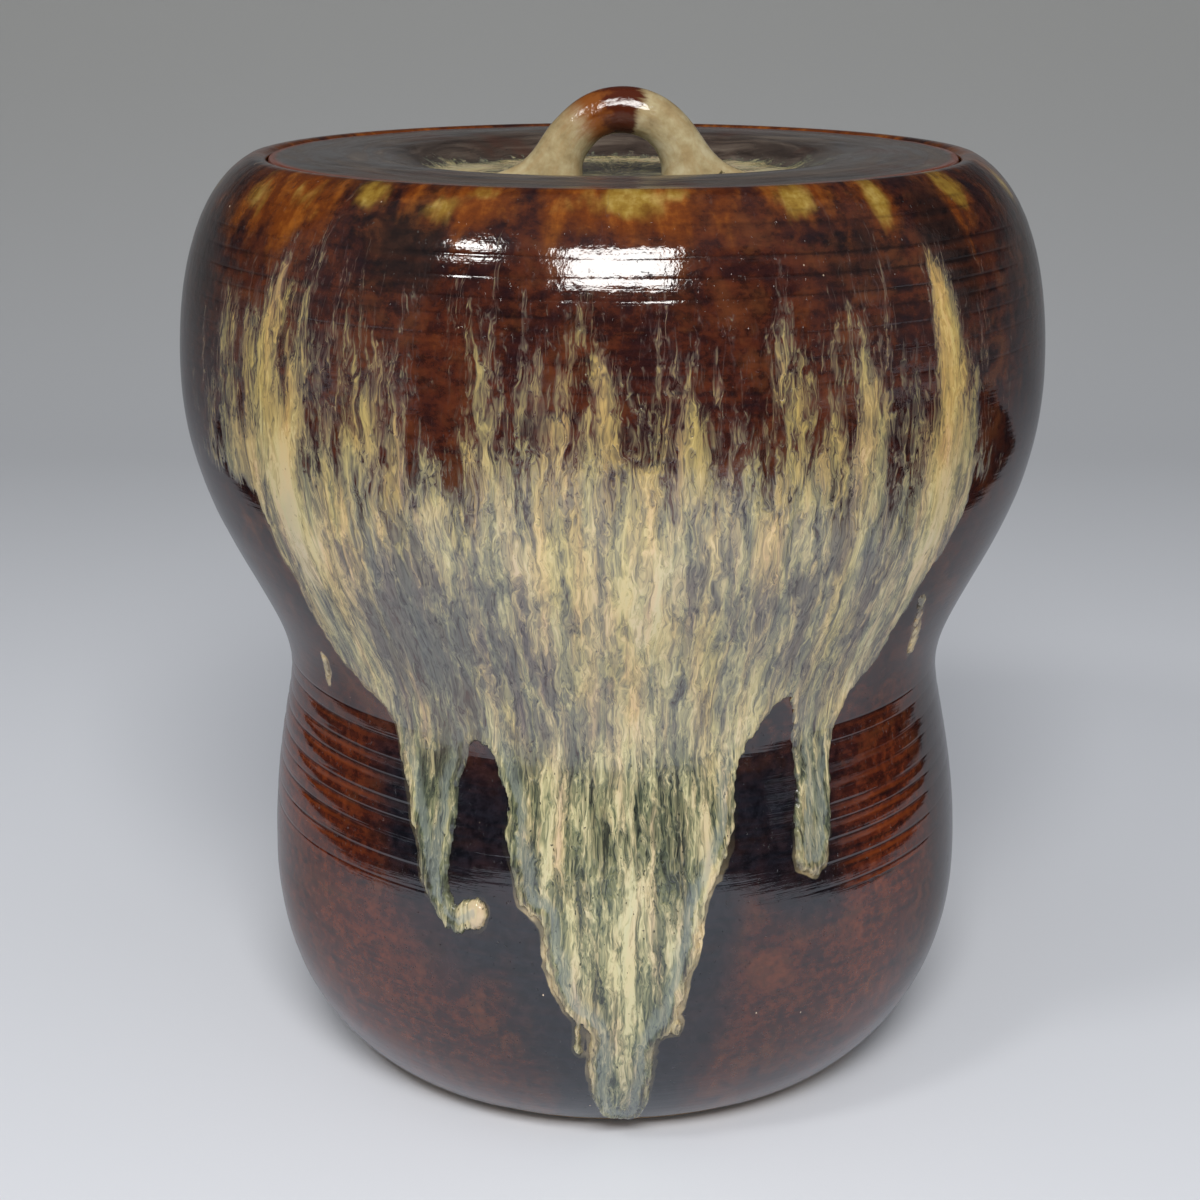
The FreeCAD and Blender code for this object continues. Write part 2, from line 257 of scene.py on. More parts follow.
def makePiece(name, points, faces, body, nodes, material, attributes=None, sharp=60):
    # Puts points and faces into a mesh with smooth shading, with one attribute per given array, and rides it
    # on its body
    mesh = bpy.data.meshes.new(name)
    points = points.reshape(-1, 3)
    counts = [4] * len(faces) if isinstance(faces, np.ndarray) else [len(f) for f in faces]
    flat = faces.ravel() if isinstance(faces, np.ndarray) else np.concatenate(faces)
    mesh.vertices.add(len(points))
    mesh.vertices.foreach_set("co", points.astype(np.float32).ravel())
    mesh.loops.add(len(flat))
    mesh.loops.foreach_set("vertex_index", np.asarray(flat, np.int32))
    mesh.polygons.add(len(counts))
    starts = np.concatenate([[0], np.cumsum(counts)[:-1]])
    mesh.polygons.foreach_set("loop_start", starts.astype(np.int32))
    mesh.update(calc_edges=True)
    mesh.validate()
    mesh.polygons.foreach_set("use_smooth", np.ones(len(mesh.polygons), bool))
    mesh.set_sharp_from_angle(angle=math.radians(sharp))
    for label, values in (attributes or {}).items():
        values = np.asarray(values, np.float32)
        kind, field = ("FLOAT_VECTOR", "vector") if values.size == 3 * len(points) else ("FLOAT", "value")
        mesh.attributes.new(label, kind, "POINT").data.foreach_set(field, values.ravel())
    mesh.materials.append(material)
    piece = bpy.data.objects.new(name, mesh)
    scene.collection.objects.link(piece)
    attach(piece, body)
    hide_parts(*nodes)
    print(name, len(points), "points", sum(counts) - 2 * len(counts), "triangles")
    return piece


def outlineTurns():
    # The poured edge as angle round the jar and run up it, smoothed by a closed Catmull-Rom curve
    knots = np.array(poured["outline"]) * mm
    run = runAt(knots[:, 1])
    angle = np.arcsin(np.clip(knots[:, 0] / along("radius", run), -1, 1))
    knots = np.stack([angle * jarShape["unrolled"] * mm, run], -1)
    steps = np.linspace(0, 1, 5)[:-1][:, None, None]
    a, b, c, d = (np.roll(knots, s, 0)[None] for s in (1, 0, -1, -2))
    curve = b + 0.5 * steps * (c - a + steps * (2 * a - 5 * b + 4 * c - d + steps * (3 * (b - c) + d - a)))
    return curve.transpose(1, 0, 2).reshape(-1, 2)


def segmentDistance(at, start, end):
    # Distance from points to one straight piece
    way = end - start
    t = np.clip(((at - start) @ way) / max(way @ way, 1e-15), 0, 1)
    return np.hypot(*(at - start - t[..., None] * way).transpose(-1, *range(at.ndim - 1)))


def ashEdge(angle, run):
    # Signed distance in mm to the poured edge, above zero inside it: nearest piece of the outline, sign by
    # counting crossings, made ragged by noise
    angle, run = np.broadcast_arrays(angle, run)
    at = np.stack([np.radians(turnOf(angle)) * jarShape["unrolled"] * mm, run], -1)
    curve = outlineTurns()
    nearest = np.full(at.shape[:-1], 1.0)
    inside = np.zeros(at.shape[:-1], bool)
    for start, end in zip(curve, np.roll(curve, -1, 0)):
        nearest = np.minimum(nearest, segmentDistance(at, start, end))
        if start[1] != end[1]:
            spans = (at[..., 1] > min(start[1], end[1])) & (at[..., 1] <= max(start[1], end[1]))
            crossing = start[0] + (at[..., 1] - start[1]) / (end[1] - start[1]) * (end[0] - start[0])
            inside ^= spans & (at[..., 0] < crossing)
    edge = np.where(inside, nearest, -nearest) / mm
    for across, top, bottom, half in poured["drips"]:
        runs = runAt(np.array([top, bottom]) * mm)
        turns = np.arcsin(across * mm / along("radius", runs)) * jarShape["unrolled"] * mm
        ends = np.stack([turns, runs], -1)
        edge = np.maximum(edge, half - segmentDistance(at, *ends) / mm)
    flow = flowOf(angle, run)
    for n, (depth, wide, tall) in enumerate(poured["tatter"]):
        edge = edge + depth * softNoise(flow, np.array((wide, wide, tall)) * mm, 21 + n)
    return edge


cover = {
    # how thick the ash lies: heights, and the level at each
    "levels": ([0, 112, 124, 134, 144, 153, 160, 168, 172], [0.56, 0.60, 0.55, 0.41, 0.24, 0.12, 0.02, -0.10, -0.25]),
    # streaks of thick ash: angle in degrees, half width, top and bottom height, strength
    "columns": [
        (-44.5, 3.6, 171, 118, 0.34), (-41.5, 2.6, 146, 108, 0.42), (-49.5, 2, 165, 120, 0.20),
        (-31.5, 1.6, 160, 128, 0.24), (-27.5, 1.4, 158, 138, 0.14), (-1.5, 1.7, 162, 132, 0.26),
        (19.5, 2, 160, 142, 0.20), (14, 1.4, 163, 150, 0.12), (29.5, 2.4, 164, 100, 0.24),
        (42.8, 2.7, 172, 112, 0.60), (47.5, 1.8, 160, 118, 0.24), (5, 5, 130, 84, 0.10),
        (-9.5, 3.5, 124, 98, 0.12), (18, 4, 118, 90, 0.08), (-55, 2.4, 165, 112, 0.14),
        (-60.5, 3, 160, 116, 0.18), (-66, 3, 154, 120, 0.16),
        (-9.1, 1.3, 88, 50, 0.30), (1.3, 1.4, 92, 34, 0.24), (4.2, 1, 80, 40, 0.16), (13.2, 1.6, 78, 48, 0.28),
        (-14.6, 0.9, 69, 54, -0.42), (-4, 1.8, 76, 58, -0.20), (8.4, 2, 76, 54, -0.24), (-6, 1.2, 52, 30, 0.12),
        (31.5, 1.4, 82, 56, 0.16), (-29.5, 1, 80, 58, 0.20), (-33.5, 0.9, 84, 62, 0.22),
    ],
    "columnTop": (0, -14), "columnBottom": (-8, 6),  # mm from its top and bottom over which a streak fades
    "stray": (0.9, (30, 30, 12)),  # degrees that the streaks stray, and the size of that in mm
    # paler or darker fields: angle, half width, height, half height, strength
    "fields": [
        (-27, 11, 103, 15, -0.54), (-29, 7, 74, 16, -0.28), (33, 14, 116, 18, -0.20), (0, 8, 118, 16, 0.06),
        (22, 8, 126, 12, 0.04), (24, 12, 104, 14, -0.18), (-12, 5, 84, 9, -0.12), (0, 16, 74, 9, -0.06),
        (-52, 8, 105, 22, -0.16), (52, 7, 120, 24, -0.12), (33, 4, 68, 14, -0.06), (-20.7, 2.6, 49.3, 3.2, 1),
        (-27, 5, 54, 5, -0.22), (-29, 4, 62, 12, -0.12),
    ],
    "patchy": (0.05, (9, 9, 26)),  # swing and size of slow changes
    "sharp": (-0.6, 0.3),  # mm across the poured edge over which ash ends
    "middle": -4, "sides": (78, 46),  # high up: angle of the middle, and degrees away from it where ash ends
    "upper": (120, 128),  # above these heights the edge is only a thinning of streaks
    "none": 0.6,  # level taken off outside the edge
    "sheetTakesOver": (0.9, 124, 112),  # level taken off the coat under the sheet, and heights where that begins
}


def ashCover(angle, run, edge):
    # How much ash lies on the iron glaze, 0 none to 1 thick: full below the belly, thinning upwards into
    # streaks, with given columns and fields, and none outside the poured edge
    turn, height, flow = turnOf(angle), along("height", run) / mm, flowOf(angle, run)
    level = np.interp(height, *cover["levels"])
    reach, size = cover["stray"]
    strayedTurn = turn + reach * softNoise(flow, np.array(size) * mm, 33)
    (topFull, topNone), (lowNone, lowFull) = cover["columnTop"], cover["columnBottom"]
    for at, half, top, bottom, strength in cover["columns"]:
        ends = smooth(height, top + topFull, top + topNone) * smooth(height, bottom + lowNone, bottom + lowFull)
        level = level + strength * bell(strayedTurn, at, half) * ends
    for at, half, middle, tall, strength in cover["fields"]:
        level = level + strength * bell(turn, at, half) * bell(height, middle, tall)
    swing, size = cover["patchy"]
    level = level + swing * softNoise(flow, np.array(size) * mm, 31)
    upper = smooth(height, *cover["upper"])
    sideways = smooth(np.abs(turn - cover["middle"]), *cover["sides"])
    within = (1 - upper) * smooth(edge, *cover["sharp"]) + upper * sideways
    return level * within - cover["none"] * (1 - within)


ground = {
    # soft-edged spots: angle, half width in degrees, height, half height in mm, strength
    "rust": [  # places where the iron glaze is thin and breaks to rust
        (-68, 26, 62, 18, 1), (-58, 32, 30, 22, 0.8), (47, 11, 58, 20, 1), (43, 11, 32, 20, 0.7),
        (26, 12, 34, 14, 0.4), (14, 8, 22, 10, 0.2), (150, 34, 50, 24, 0.9), (-150, 26, 56, 20, 0.7),
        (-112, 14, 40, 20, 0.4), (100, 14, 44, 22, 0.4), (0, 34, 147, 12, 0.20), (-100, 30, 140, 20, 0.20),
        (110, 36, 146, 18, 0.25), (180, 40, 128, 22, 0.35),
    ],
    "thick": [  # where the glaze is thickest, nearly black
        (-85, 23, 132, 44, 1), (86, 24, 130, 44, 1), (76, 14, 56, 28, 1), (70, 10, 26, 18, 0.6),
        (-120, 12, 60, 30, 0.6), (-150, 18, 140, 24, 0.6), (150, 16, 130, 30, 0.6), (-26, 5, 168, 7, 0.8),
        (46, 5, 165, 10, 0.7), (30, 6, 166, 6, 0.5),
    ],
    "amber": [  # where the lip breaks to amber and how far down it runs
        (-50, 11, 173.5, 6, 0.9), (-30, 6, 176, 4, 0.6), (-19, 6, 175.5, 4.5, 0.85), (2, 11, 175.5, 5, 1),
        (25, 6, 175.5, 4.5, 0.8), (37, 3, 174, 6, 0.6), (53, 4, 174, 6, 0.55), (90, 20, 174.5, 5, 0.7),
        (140, 26, 174, 6, 0.9), (-175, 14, 174.5, 5, 0.7), (-140, 22, 174, 6, 0.9), (-98, 20, 174, 6, 0.8),
        (0, 400, 177.5, 2, 0.35),
    ],
    "bead": [  # where the edge of the poured ash gathers in a cream bead
        (-11, 7, 43, 12, 0.85), (11, 7, 43, 14, 1), (0, 8, 22, 10, 0.55), (31, 4, 55, 5, 0.7),
        (-32, 3, 64, 16, 0.35), (-43, 7, 98, 20, 0.8), (-56, 6, 88, 8, 1), (57, 6, 100, 10, 1),
    ],
    "yellow": [  # olive-yellow patches running down from the lip
        (-34.5, 2.2, 174.9, 2.2, 1.15), (-22.8, 2.6, 173.9, 2.4, 0.75), (-17, 2.6, 175.7, 1.4, 0.75),
        (0.6, 4.8, 175.2, 2.1, 1.10), (7.8, 2.1, 176, 1.3, 0.90), (23.8, 3.4, 174.8, 2.8, 1),
        (36.8, 1.9, 174, 3.4, 1), (53.5, 3.2, 174, 3.6, 1), (-46, 5, 173.5, 3.4, 0.55),
        (-58, 5, 173, 4, 0.55), (74, 4, 172.5, 3, 0.8), (93, 3, 171.5, 3.6, 0.9), (118, 6, 172.5, 2.6, 0.9),
        (141, 3, 172, 3.5, 0.8), (163, 5, 172.5, 2.6, 1), (-172, 4, 172, 3, 0.9), (-147, 6, 172.5, 2.5, 0.9),
        (-121, 3, 172, 3.2, 0.8), (-98, 5, 172.5, 2.6, 0.9), (-80, 3, 172, 3, 0.7),
    ],
}
roundness = {"rust": 4, "thick": 4, "amber": 3, "bead": 4, "yellow": 2}  # a lower power makes the spots rounder


def patches(angle, run, rows, power):
    # Soft-edged spots: strength over 1 plus the distances across and up, in half widths, each to the given power
    turn, height = turnOf(angle), along("height", run) / mm
    total = np.zeros(np.broadcast(angle, run).shape)
    for at, wide, middle, tall, strength in rows:
        across, up = np.abs(((turn - at + 180) % 360 - 180) / wide), np.abs((height - middle) / tall)
        total = np.maximum(total, strength / (1 + across ** power + up ** power))
    return total


def glazeMasks(angle, run, coatOnly=False):
    # Everything that the glaze materials read at each point; the coat itself shows ash only where the sheet
    # thins out above
    angle, run = np.broadcast_arrays(angle, run)
    edge = ashEdge(angle, run)
    level = ashCover(angle, run, edge)
    if coatOnly:
        share, none, full = cover["sheetTakesOver"]
        level = level - share * smooth(along("height", run) / mm, none, full)
    masks = {"flow": flowOf(angle, run), "edge": np.clip(edge, -40, 40), "cover": level,
             "thrown": thrownHeight(angle, run), "deep": grooveDepth(angle, run)}
    return masks | {label: patches(angle, run, rows, roundness[label]) for label, rows in ground.items()}


def tint(red, green, blue, alpha=1.0):
    # A colour written as on screen, 0 to 255, turned into the linear values that shaders use
    values = [c / 255 for c in (red, green, blue)]
    return tuple(c / 12.92 if c <= 0.04045 else ((c + 0.055) / 1.055) ** 2.4 for c in values) + (alpha,)


def fill(tree, sockets, values):
    # Fills sockets with numbers or links
    for key, value in values.items():
        if isinstance(value, bpy.types.NodeSocket):
            tree.links.new(value, sockets[key])
        elif value is not None:
            sockets[key].default_value = value


def put(tree, kind, values=None, **settings):
    # Adds a node, sets its options and fills its inputs
    node = tree.nodes.new(kind)
    for key, value in settings.items():
        setattr(node, key, value)
    fill(tree, node.inputs, values or {})
    return node


def calc(tree, operation, a, b=None, c=None):
    return put(tree, "ShaderNodeMath", {0: a, 1: b, 2: c}, operation=operation).outputs[0]


def sumOf(tree, start, *terms):
    # Start plus each value times its weight
    for value, weight in terms:
        start = calc(tree, "MULTIPLY_ADD", value, weight, start)
    return start


def times(tree, value, *others):
    # All the values multiplied together
    for other in others:
        value = calc(tree, "MULTIPLY", value, other)
    return value


def between(tree, value, low, high, outLow=0.0, outHigh=1.0):
    # Smooth step from low to high
    return put(tree, "ShaderNodeMapRange", {0: value, 1: low, 2: high, 3: outLow, 4: outHigh},
               interpolation_type="SMOOTHSTEP").outputs[0]


def band(tree, value, start, full, stay, end):
    # 1 from full to stay, falling to 0 at start and end
    return times(tree, between(tree, value, start, full), between(tree, value, end, stay))


def blend(tree, factor, a, b, kind="MIX"):
    # Mix of two colours; one written as three numbers is as on screen
    a, b = (tint(*colour) if isinstance(colour, tuple) else colour for colour in (a, b))
    return put(tree, "ShaderNodeMix", {0: factor, 6: a, 7: b}, data_type="RGBA", blend_type=kind).outputs[2]


def vectorCalc(tree, operation, a, b, out=0):
    return put(tree, "ShaderNodeVectorMath", {0: a, 1: b}, operation=operation).outputs[out]


def noise(tree, vector, scale, detail=3.0, rough=0.55, distortion=0.0, out=0):
    return put(tree, "ShaderNodeTexNoise", {"Vector": vector, "Scale": scale, "Detail": detail, "Roughness": rough,
                                            "Distortion": distortion}).outputs[out]


def tall(tree, vector, share):
    # The same place with its height counted share times, so that a pattern is drawn out up the wall
    return vectorCalc(tree, "MULTIPLY", vector, (1, 1, share))


def drawn(tree, vector, share, *settings):
    return noise(tree, tall(tree, vector, share), *settings)


def strayed(tree, vector, scale, detail, reach):
    # A vector moved by centred noise, by up to reach in metres each way
    way = vectorCalc(tree, "SUBTRACT", noise(tree, vector, scale, detail, out=1), (0.5, 0.5, 0.5))
    return vectorCalc(tree, "ADD", vector, vectorCalc(tree, "MULTIPLY", way, [2 * r for r in reach]))


def cells(tree, vector, scale):
    return put(tree, "ShaderNodeTexVoronoi", {"Vector": vector, "Scale": scale}).outputs["Distance"]


def ramp(tree, value, stops, plain=False):
    # Colour by value; the colours are as on screen, or plain shares to multiply with
    node = put(tree, "ShaderNodeValToRGB", {0: value})
    stripes = node.color_ramp.elements
    while len(stripes) < len(stops):
        stripes.new(0.5)
    for stripe, (place, colour) in zip(stripes, stops):
        stripe.position = place
        stripe.color = (*colour, 1.0) if plain else tint(*colour)
    return node.outputs[0]


def newGroup(name, inputs, outputs):
    # A node group with the named sockets: v vector, f number, c colour
    group = bpy.data.node_groups.new(name, "ShaderNodeTree")
    kinds = {"v": "NodeSocketVector", "f": "NodeSocketFloat", "c": "NodeSocketColor"}
    for side, sockets in (("INPUT", inputs), ("OUTPUT", outputs)):
        for label, kind in sockets.items():
            group.interface.new_socket(name=label, in_out=side, socket_type=kinds[kind])
    return group, group.nodes.new("NodeGroupInput").outputs, group.nodes.new("NodeGroupOutput").inputs


def layered(tree, colour, *layers):
    # Colours laid over one another: the share of each, and a colour, or a ramp's stops and the value it reads
    for share, tone, *by in layers:
        colour = blend(tree, share, colour, ramp(tree, *by, tone) if by else tone)
    return colour


def useGroup(tree, group, values):
    return put(tree, "ShaderNodeGroup", values, node_tree=group).outputs


ashTones = {
    "tan": [(0.12, (70, 56, 60)), (0.24, (90, 78, 78)), (0.34, (110, 99, 90)), (0.45, (130, 117, 94)),
            (0.57, (148, 130, 92)), (0.70, (164, 142, 96)), (0.86, (180, 155, 102)), (1.0, (196, 174, 124))],
    "pale": [(0.14, (74, 70, 70)), (0.28, (104, 99, 94)), (0.42, (128, 121, 106)), (0.55, (150, 140, 116)),
             (0.68, (174, 160, 126)), (0.84, (198, 180, 140)), (1.0, (212, 194, 158))],
    "green": [(0.14, (50, 55, 48)), (0.28, (76, 80, 66)), (0.40, (100, 102, 80)), (0.54, (126, 124, 96)),
              (0.68, (152, 146, 114)), (0.84, (184, 171, 134)), (1.0, (204, 191, 154))],
    "bead": [(0.40, (196, 172, 128)), (0.60, (218, 196, 152))],
    "pits": (60, 60, 44), "glass": (138, 146, 140), "line": (150, 126, 104),
    # shares to multiply with
    "hue": [(0.30, (1.0, 0.86, 0.92)), (0.42, (1.0, 0.95, 0.90)), (0.50, (0.98, 0.99, 0.95)),
            (0.58, (0.93, 1.0, 0.92)), (0.70, (0.87, 0.97, 1.0))],
    "warmth": [(0.34, (0.88, 0.91, 0.98)), (0.50, (1.0, 1.0, 1.0)), (0.64, (1.06, 0.98, 0.78))],
}


def ashStreaksGroup():
    # Poured ash glaze: fine wavy streaks down the wall. A level, the weighted sum of stretched noises and the
    # cover, decides the colour, from a thin dark veil through greys and straw to thick cream
    inputs = {"Flow": "v"} | dict.fromkeys(("Cover", "Edge", "Lower", "Upper", "Least", "Bead"), "f")
    g, given, made = newGroup("ash streaks", inputs, {"Color": "c", "Amount": "f", "Height": "f"})
    flow, edge, lower, upper = (given[label] for label in ("Flow", "Edge", "Lower", "Upper"))
    wavy = strayed(g, tall(g, flow, 0.42), 200, 2, (0.0014, 0.0014, 0.0022))
    wavy = strayed(g, wavy, 760, 1, (0.00058, 0.00058, 0.0008))
    lumps = drawn(g, wavy, 0.50, 430, 4, 0.58, 0.8)
    threads = drawn(g, wavy, 0.40, 1400, 2, 0.6, 0.9)
    broad = drawn(g, wavy, 0.60, 150, 3, 0.55)
    level = sumOf(g, -1.445, (lumps, 1.6), (threads, 0.50), (broad, 0.80), (given["Cover"], 1.0))
    # high up, clusters of threads take the place of lumps; low down, long crisp stripes join in
    clusters = sumOf(g, -0.40, (lumps, -0.65), (threads, 0.35), (drawn(g, wavy, 0.42, 165, 2, 0.5), 1.1))
    crisp = sumOf(g, -1.10, (threads, 0.7), (drawn(g, wavy, 0.14, 600, 3, 0.6), 1.5))
    share = times(g, between(g, lower, 0, 1, 0.35, 1.0), between(g, upper, 0, 1, 1, 0))
    # light and dark hairlines, where a noise crosses its middle
    veins, lights = (calc(g, "ABSOLUTE", calc(g, "SUBTRACT", drawn(g, wavy, *settings), 0.5))
                     for settings in ((0.34, 600, 2, 0.5, 1.7), (0.28, 460, 2, 0.5, 1.2)))
    level = sumOf(g, level, (clusters, upper), (crisp, share), (between(g, lights, 0.045, 0.012), 0.16),
                  (between(g, veins, 0.024, 0.005), -0.15))
    least = sumOf(g, -0.275, (threads, 0.55), (given["Least"], 1.0))
    level = calc(g, "MAXIMUM", level, times(g, calc(g, "SUBTRACT", 1.0, upper), least))
    tan, pale, green = (ramp(g, level, ashTones[tone]) for tone in ("tan", "pale", "green"))
    colour = blend(g, lower, blend(g, upper, pale, tan), green)
    hue = ramp(g, drawn(g, wavy, 0.35, 300, 4, 0.62, 0.3), ashTones["hue"], True)
    warmth = ramp(g, drawn(g, wavy, 0.55, 125, 2, 0.5, 0.4), ashTones["warmth"], True)
    colour = blend(g, 0.85, colour, hue, "MULTIPLY")
    colour = blend(g, between(g, lower, 0, 1, 0.8, 0.3), colour, warmth, "MULTIPLY")
    # dark pin holes in the thick glaze
    pits = times(g, between(g, drawn(g, flow, 0.55, 1350, 2, 0.5), 0.69, 0.73), between(g, lower, 0, 1, 0.30, 0.95))
    # beaded edge: a cream bead, a brown line inside it, then blue-grey glass
    ragged = sumOf(g, -0.75, (noise(g, flow, 600), 1.5), (edge, 1.0))
    uneven = between(g, noise(g, flow, 150), 0.40, 0.58, 0.35, 1.0)
    inZone = times(g, given["Bead"], between(g, edge, -1.1, -0.7))
    glass = times(g, band(g, ragged, 1.6, 2.2, 3.0, 5.5), lower, 0.45)
    line = times(g, band(g, ragged, 0.75, 0.95, 1.1, 1.5), inZone, uneven, 0.5)
    bead = times(g, between(g, ragged, 0.95, 0.65), inZone)
    colour = layered(g, colour, (pits, ashTones["pits"]), (glass, ashTones["glass"]), (line, ashTones["line"]),
                     (times(g, bead, uneven), ashTones["bead"], threads))
    seen = between(g, level, 0.05, between(g, upper, 0, 1, 0.30, 0.74))
    relief = times(g, between(g, level, 0.1, 0.9), between(g, given["Cover"], -0.05, 0.35))
    fill(g, made, {"Color": colour, "Amount": calc(g, "MAXIMUM", seen, bead), "Height": sumOf(g, relief, (pits, -1.2))})
    return g


def throwingLinesGroup():
    # Fine lines left by throwing: noise very long around the pot and short up it
    g, given, made = newGroup("throwing lines", {"Flow": "v", "Fine": "f"}, {"Lines": "f", "Mottle": "f"})
    bent = strayed(g, given["Flow"], 60, 1, (0, 0, 0.0004))
    lines = noise(g, vectorCalc(g, "MULTIPLY", bent, (0.045, 0.045, 1)), given["Fine"], 3.0, 0.6)
    fill(g, made, {"Lines": lines, "Mottle": drawn(g, given["Flow"], 1.4, 420, 5, 0.65)})
    return g


def grooveRamp(tree, thrown, low, high, shift=0.0, wide=1.0):
    # Dark lines of the throwing grooves between two heights: a ramp up the jar with a peak at each groove
    half = throwing["line"] * wide / (high - low)
    stops = [(0.0, (0, 0, 0))]
    for at, depth, *rest in sorted(throwing["grooves"]):
        if low < at < high:
            place, peak = (at - shift - low) / (high - low), min(1.0, 0.1 + 9 * depth)
            stops += [(place - half, (0, 0, 0)), (place, (peak, peak, peak)), (place + half, (0, 0, 0))]
    return ramp(tree, put(tree, "ShaderNodeMapRange", {0: thrown, 1: low, 2: high}).outputs[0], stops, True)


ironTones = {
    "ground": ((24, 14, 15), (72, 35, 23)), "lines": (72, 34, 22), "thin": (97, 56, 32), "dense": (30, 18, 22),
    "thick": [(0.35, (15, 13, 14)), (0.62, (34, 24, 21))],
    "rust": [(0.35, (66, 27, 18)), (0.50, (84, 36, 22)), (0.66, (112, 52, 27))], "ridge": (122, 58, 24),
    "amber": [(0.36, (80, 36, 14)), (0.50, (104, 52, 17)), (0.64, (136, 78, 26))],
    "yellow": [(0.36, (112, 80, 26)), (0.50, (138, 110, 44)), (0.64, (168, 146, 82))],
    "halo": [(0.38, (14, 15, 20)), (0.62, (28, 29, 36))], "groove": (22, 10, 9), "dots": (206, 184, 160),
    # the two stretches of grooves: lowest and highest height, and how far below and how wide their bright ridges are
    "stretches": [(142, 176, 1.1, 2.0), (50, 84, 0.9, 1.6)],
}


def ironGlazeGroup(lines):
    # Dark iron glaze: near black where thick, maroon where thinner, rust where it breaks over the rings,
    # amber towards the lip with olive-yellow patches, blue-black beside the poured ash
    inputs = {"Flow": "v"} | dict.fromkeys(("Thrown", "Deep", "Rust", "Yellow", "Amber", "Thick", "Edge", "Lower"), "f")
    g, given, made = newGroup("iron glaze", inputs, {"Color": "c", "Height": "f"})
    flow, rusting, tones = given["Flow"], given["Rust"], ironTones
    rings = useGroup(g, lines, {"Flow": flow, "Fine": 950.0})
    fine, mottle, broad = rings["Lines"], rings["Mottle"], drawn(g, flow, 0.7, 75, 3, 0.55)
    dark = between(g, sumOf(g, 0.0, (mottle, 0.55), (broad, 0.45)), 0.40, 0.62)
    wide = noise(g, vectorCalc(g, "MULTIPLY", flow, (0.7, 0.7, 0.8)), 190, 5, 0.60, 0.5)
    thick = times(g, between(g, sumOf(g, given["Thick"], (broad, 0.9)), 0.62, 1.15), 0.88)
    # rust: breaks over ridges, stays dark in grooves, which are followed by a bright ridge
    ridge = sumOf(g, 0.0, (mottle, 0.35), (fine, 1.35))
    rust = times(g, rusting, between(g, ridge, 0.48, 0.96))
    glow, grooves = (times(g, calc(g, "MAXIMUM", *(grooveRamp(g, given["Thrown"], *s[:count]) for s in tones["stretches"])),
                           given["Deep"]) for count in (4, 2))
    glow = times(g, glow, between(g, rusting, 0.1, 0.9, 0.14, 0.75))
    # amber: at the lip, in uneven runs down the wall, with soft olive-yellow patches on it
    grain = sumOf(g, 0.0, (mottle, 0.35), (drawn(g, flow, 0.50, 260, 4, 0.55, 0.3), 0.65))
    runs = sumOf(g, -0.93, (drawn(g, flow, 0.34, 150, 3, 0.50, 0.4), 1.5), (mottle, 0.35), (given["Amber"], 1.0))
    spread = sumOf(g, given["Yellow"], (drawn(g, flow, 0.55, 210, 3, 0.5), 1.1))
    yellow = times(g, between(g, spread, 0.94, 1.42), between(g, mottle, 0.30, 0.55, 0.78, 0.95))
    # blue-black halo beside the runs, and tiny pale spots
    halo = times(g, between(g, given["Edge"], -15.0, -5.0), given["Lower"], between(g, rusting, 0.25, 0.8, 1.0, 0.35),
                 between(g, sumOf(g, fine, (broad, 0.8)), 0.60, 1.05, 1.0, 0.85))
    dots = between(g, cells(g, tall(g, flow, 0.9), 210), 0.050, 0.020)
    dots = times(g, dots, between(g, noise(g, flow, 90, 1), 0.56, 0.60))
    colour = layered(
        g, blend(g, dark, *tones["ground"]), (between(g, fine, 0.42, 0.62, 0, 0.12), tones["lines"]),
        (between(g, wide, 0.48, 0.68, 0, 0.60), tones["thin"]), (between(g, wide, 0.52, 0.36, 0, 0.70), tones["dense"]),
        (thick, tones["thick"], mottle), (rust, tones["rust"], mottle), (glow, tones["ridge"]),
        (between(g, runs, 0.16, 0.85), tones["amber"], grain), (yellow, tones["yellow"], grain),
        (halo, tones["halo"], mottle), (times(g, grooves, 0.85), tones["groove"]), (dots, tones["dots"]))
    relief = sumOf(g, 0.0, (mottle, 0.10), (dots, 0.4), (fine, 0.5), (grooves, -1.6))
    fill(g, made, {"Color": colour, "Height": relief})
    return g


def clayGrainGroup():
    # Bare stoneware: grit, clouds, dark iron specks and a few pale ones, with the turning lines of a round tool
    g, given, made = newGroup("clay grain", {"Place": "v", "Tone": "c", "Turned": "f"}, {"Color": "c", "Height": "f"})
    place, tone = given["Place"], given["Tone"]
    grit = noise(g, place, 1500, 5, 0.7)
    specks = times(g, between(g, cells(g, place, 620), 0.16, 0.08), between(g, noise(g, place, 400, 1), 0.50, 0.55))
    pale = between(g, cells(g, vectorCalc(g, "ADD", place, (0.3, 0.1, 0.2)), 480), 0.10, 0.05)
    colour = blend(g, between(g, grit, 0.35, 0.68), blend(g, 0.45, tone, (96, 74, 52)), tone)
    colour = layered(g, colour, (between(g, noise(g, place, 60, 3, 0.6), 0.42, 0.70, 0, 0.5), (150, 118, 84)),
                     (specks, (46, 30, 24)), (pale, (214, 196, 166)))
    radius = vectorCalc(g, "LENGTH", tall(g, place, 0.6), None, "Value")
    lines = times(g, calc(g, "SINE", times(g, radius, 5200.0)), given["Turned"])
    fill(g, made, {"Color": colour, "Height": sumOf(g, grit, (specks, -0.3), (lines, 0.25))})
    return g


groups = {"ash": ashStreaksGroup(), "lines": throwingLinesGroup(), "clay": clayGrainGroup()}
groups["iron"] = ironGlazeGroup(groups["lines"])


def newMaterial(name):
    material = bpy.data.materials.new(name)
    material.use_nodes = True
    tree = material.node_tree
    return material, tree, tree.nodes["Principled BSDF"]


def attribute(tree, name, out="Fac"):
    return put(tree, "ShaderNodeAttribute", attribute_name=name).outputs[out]


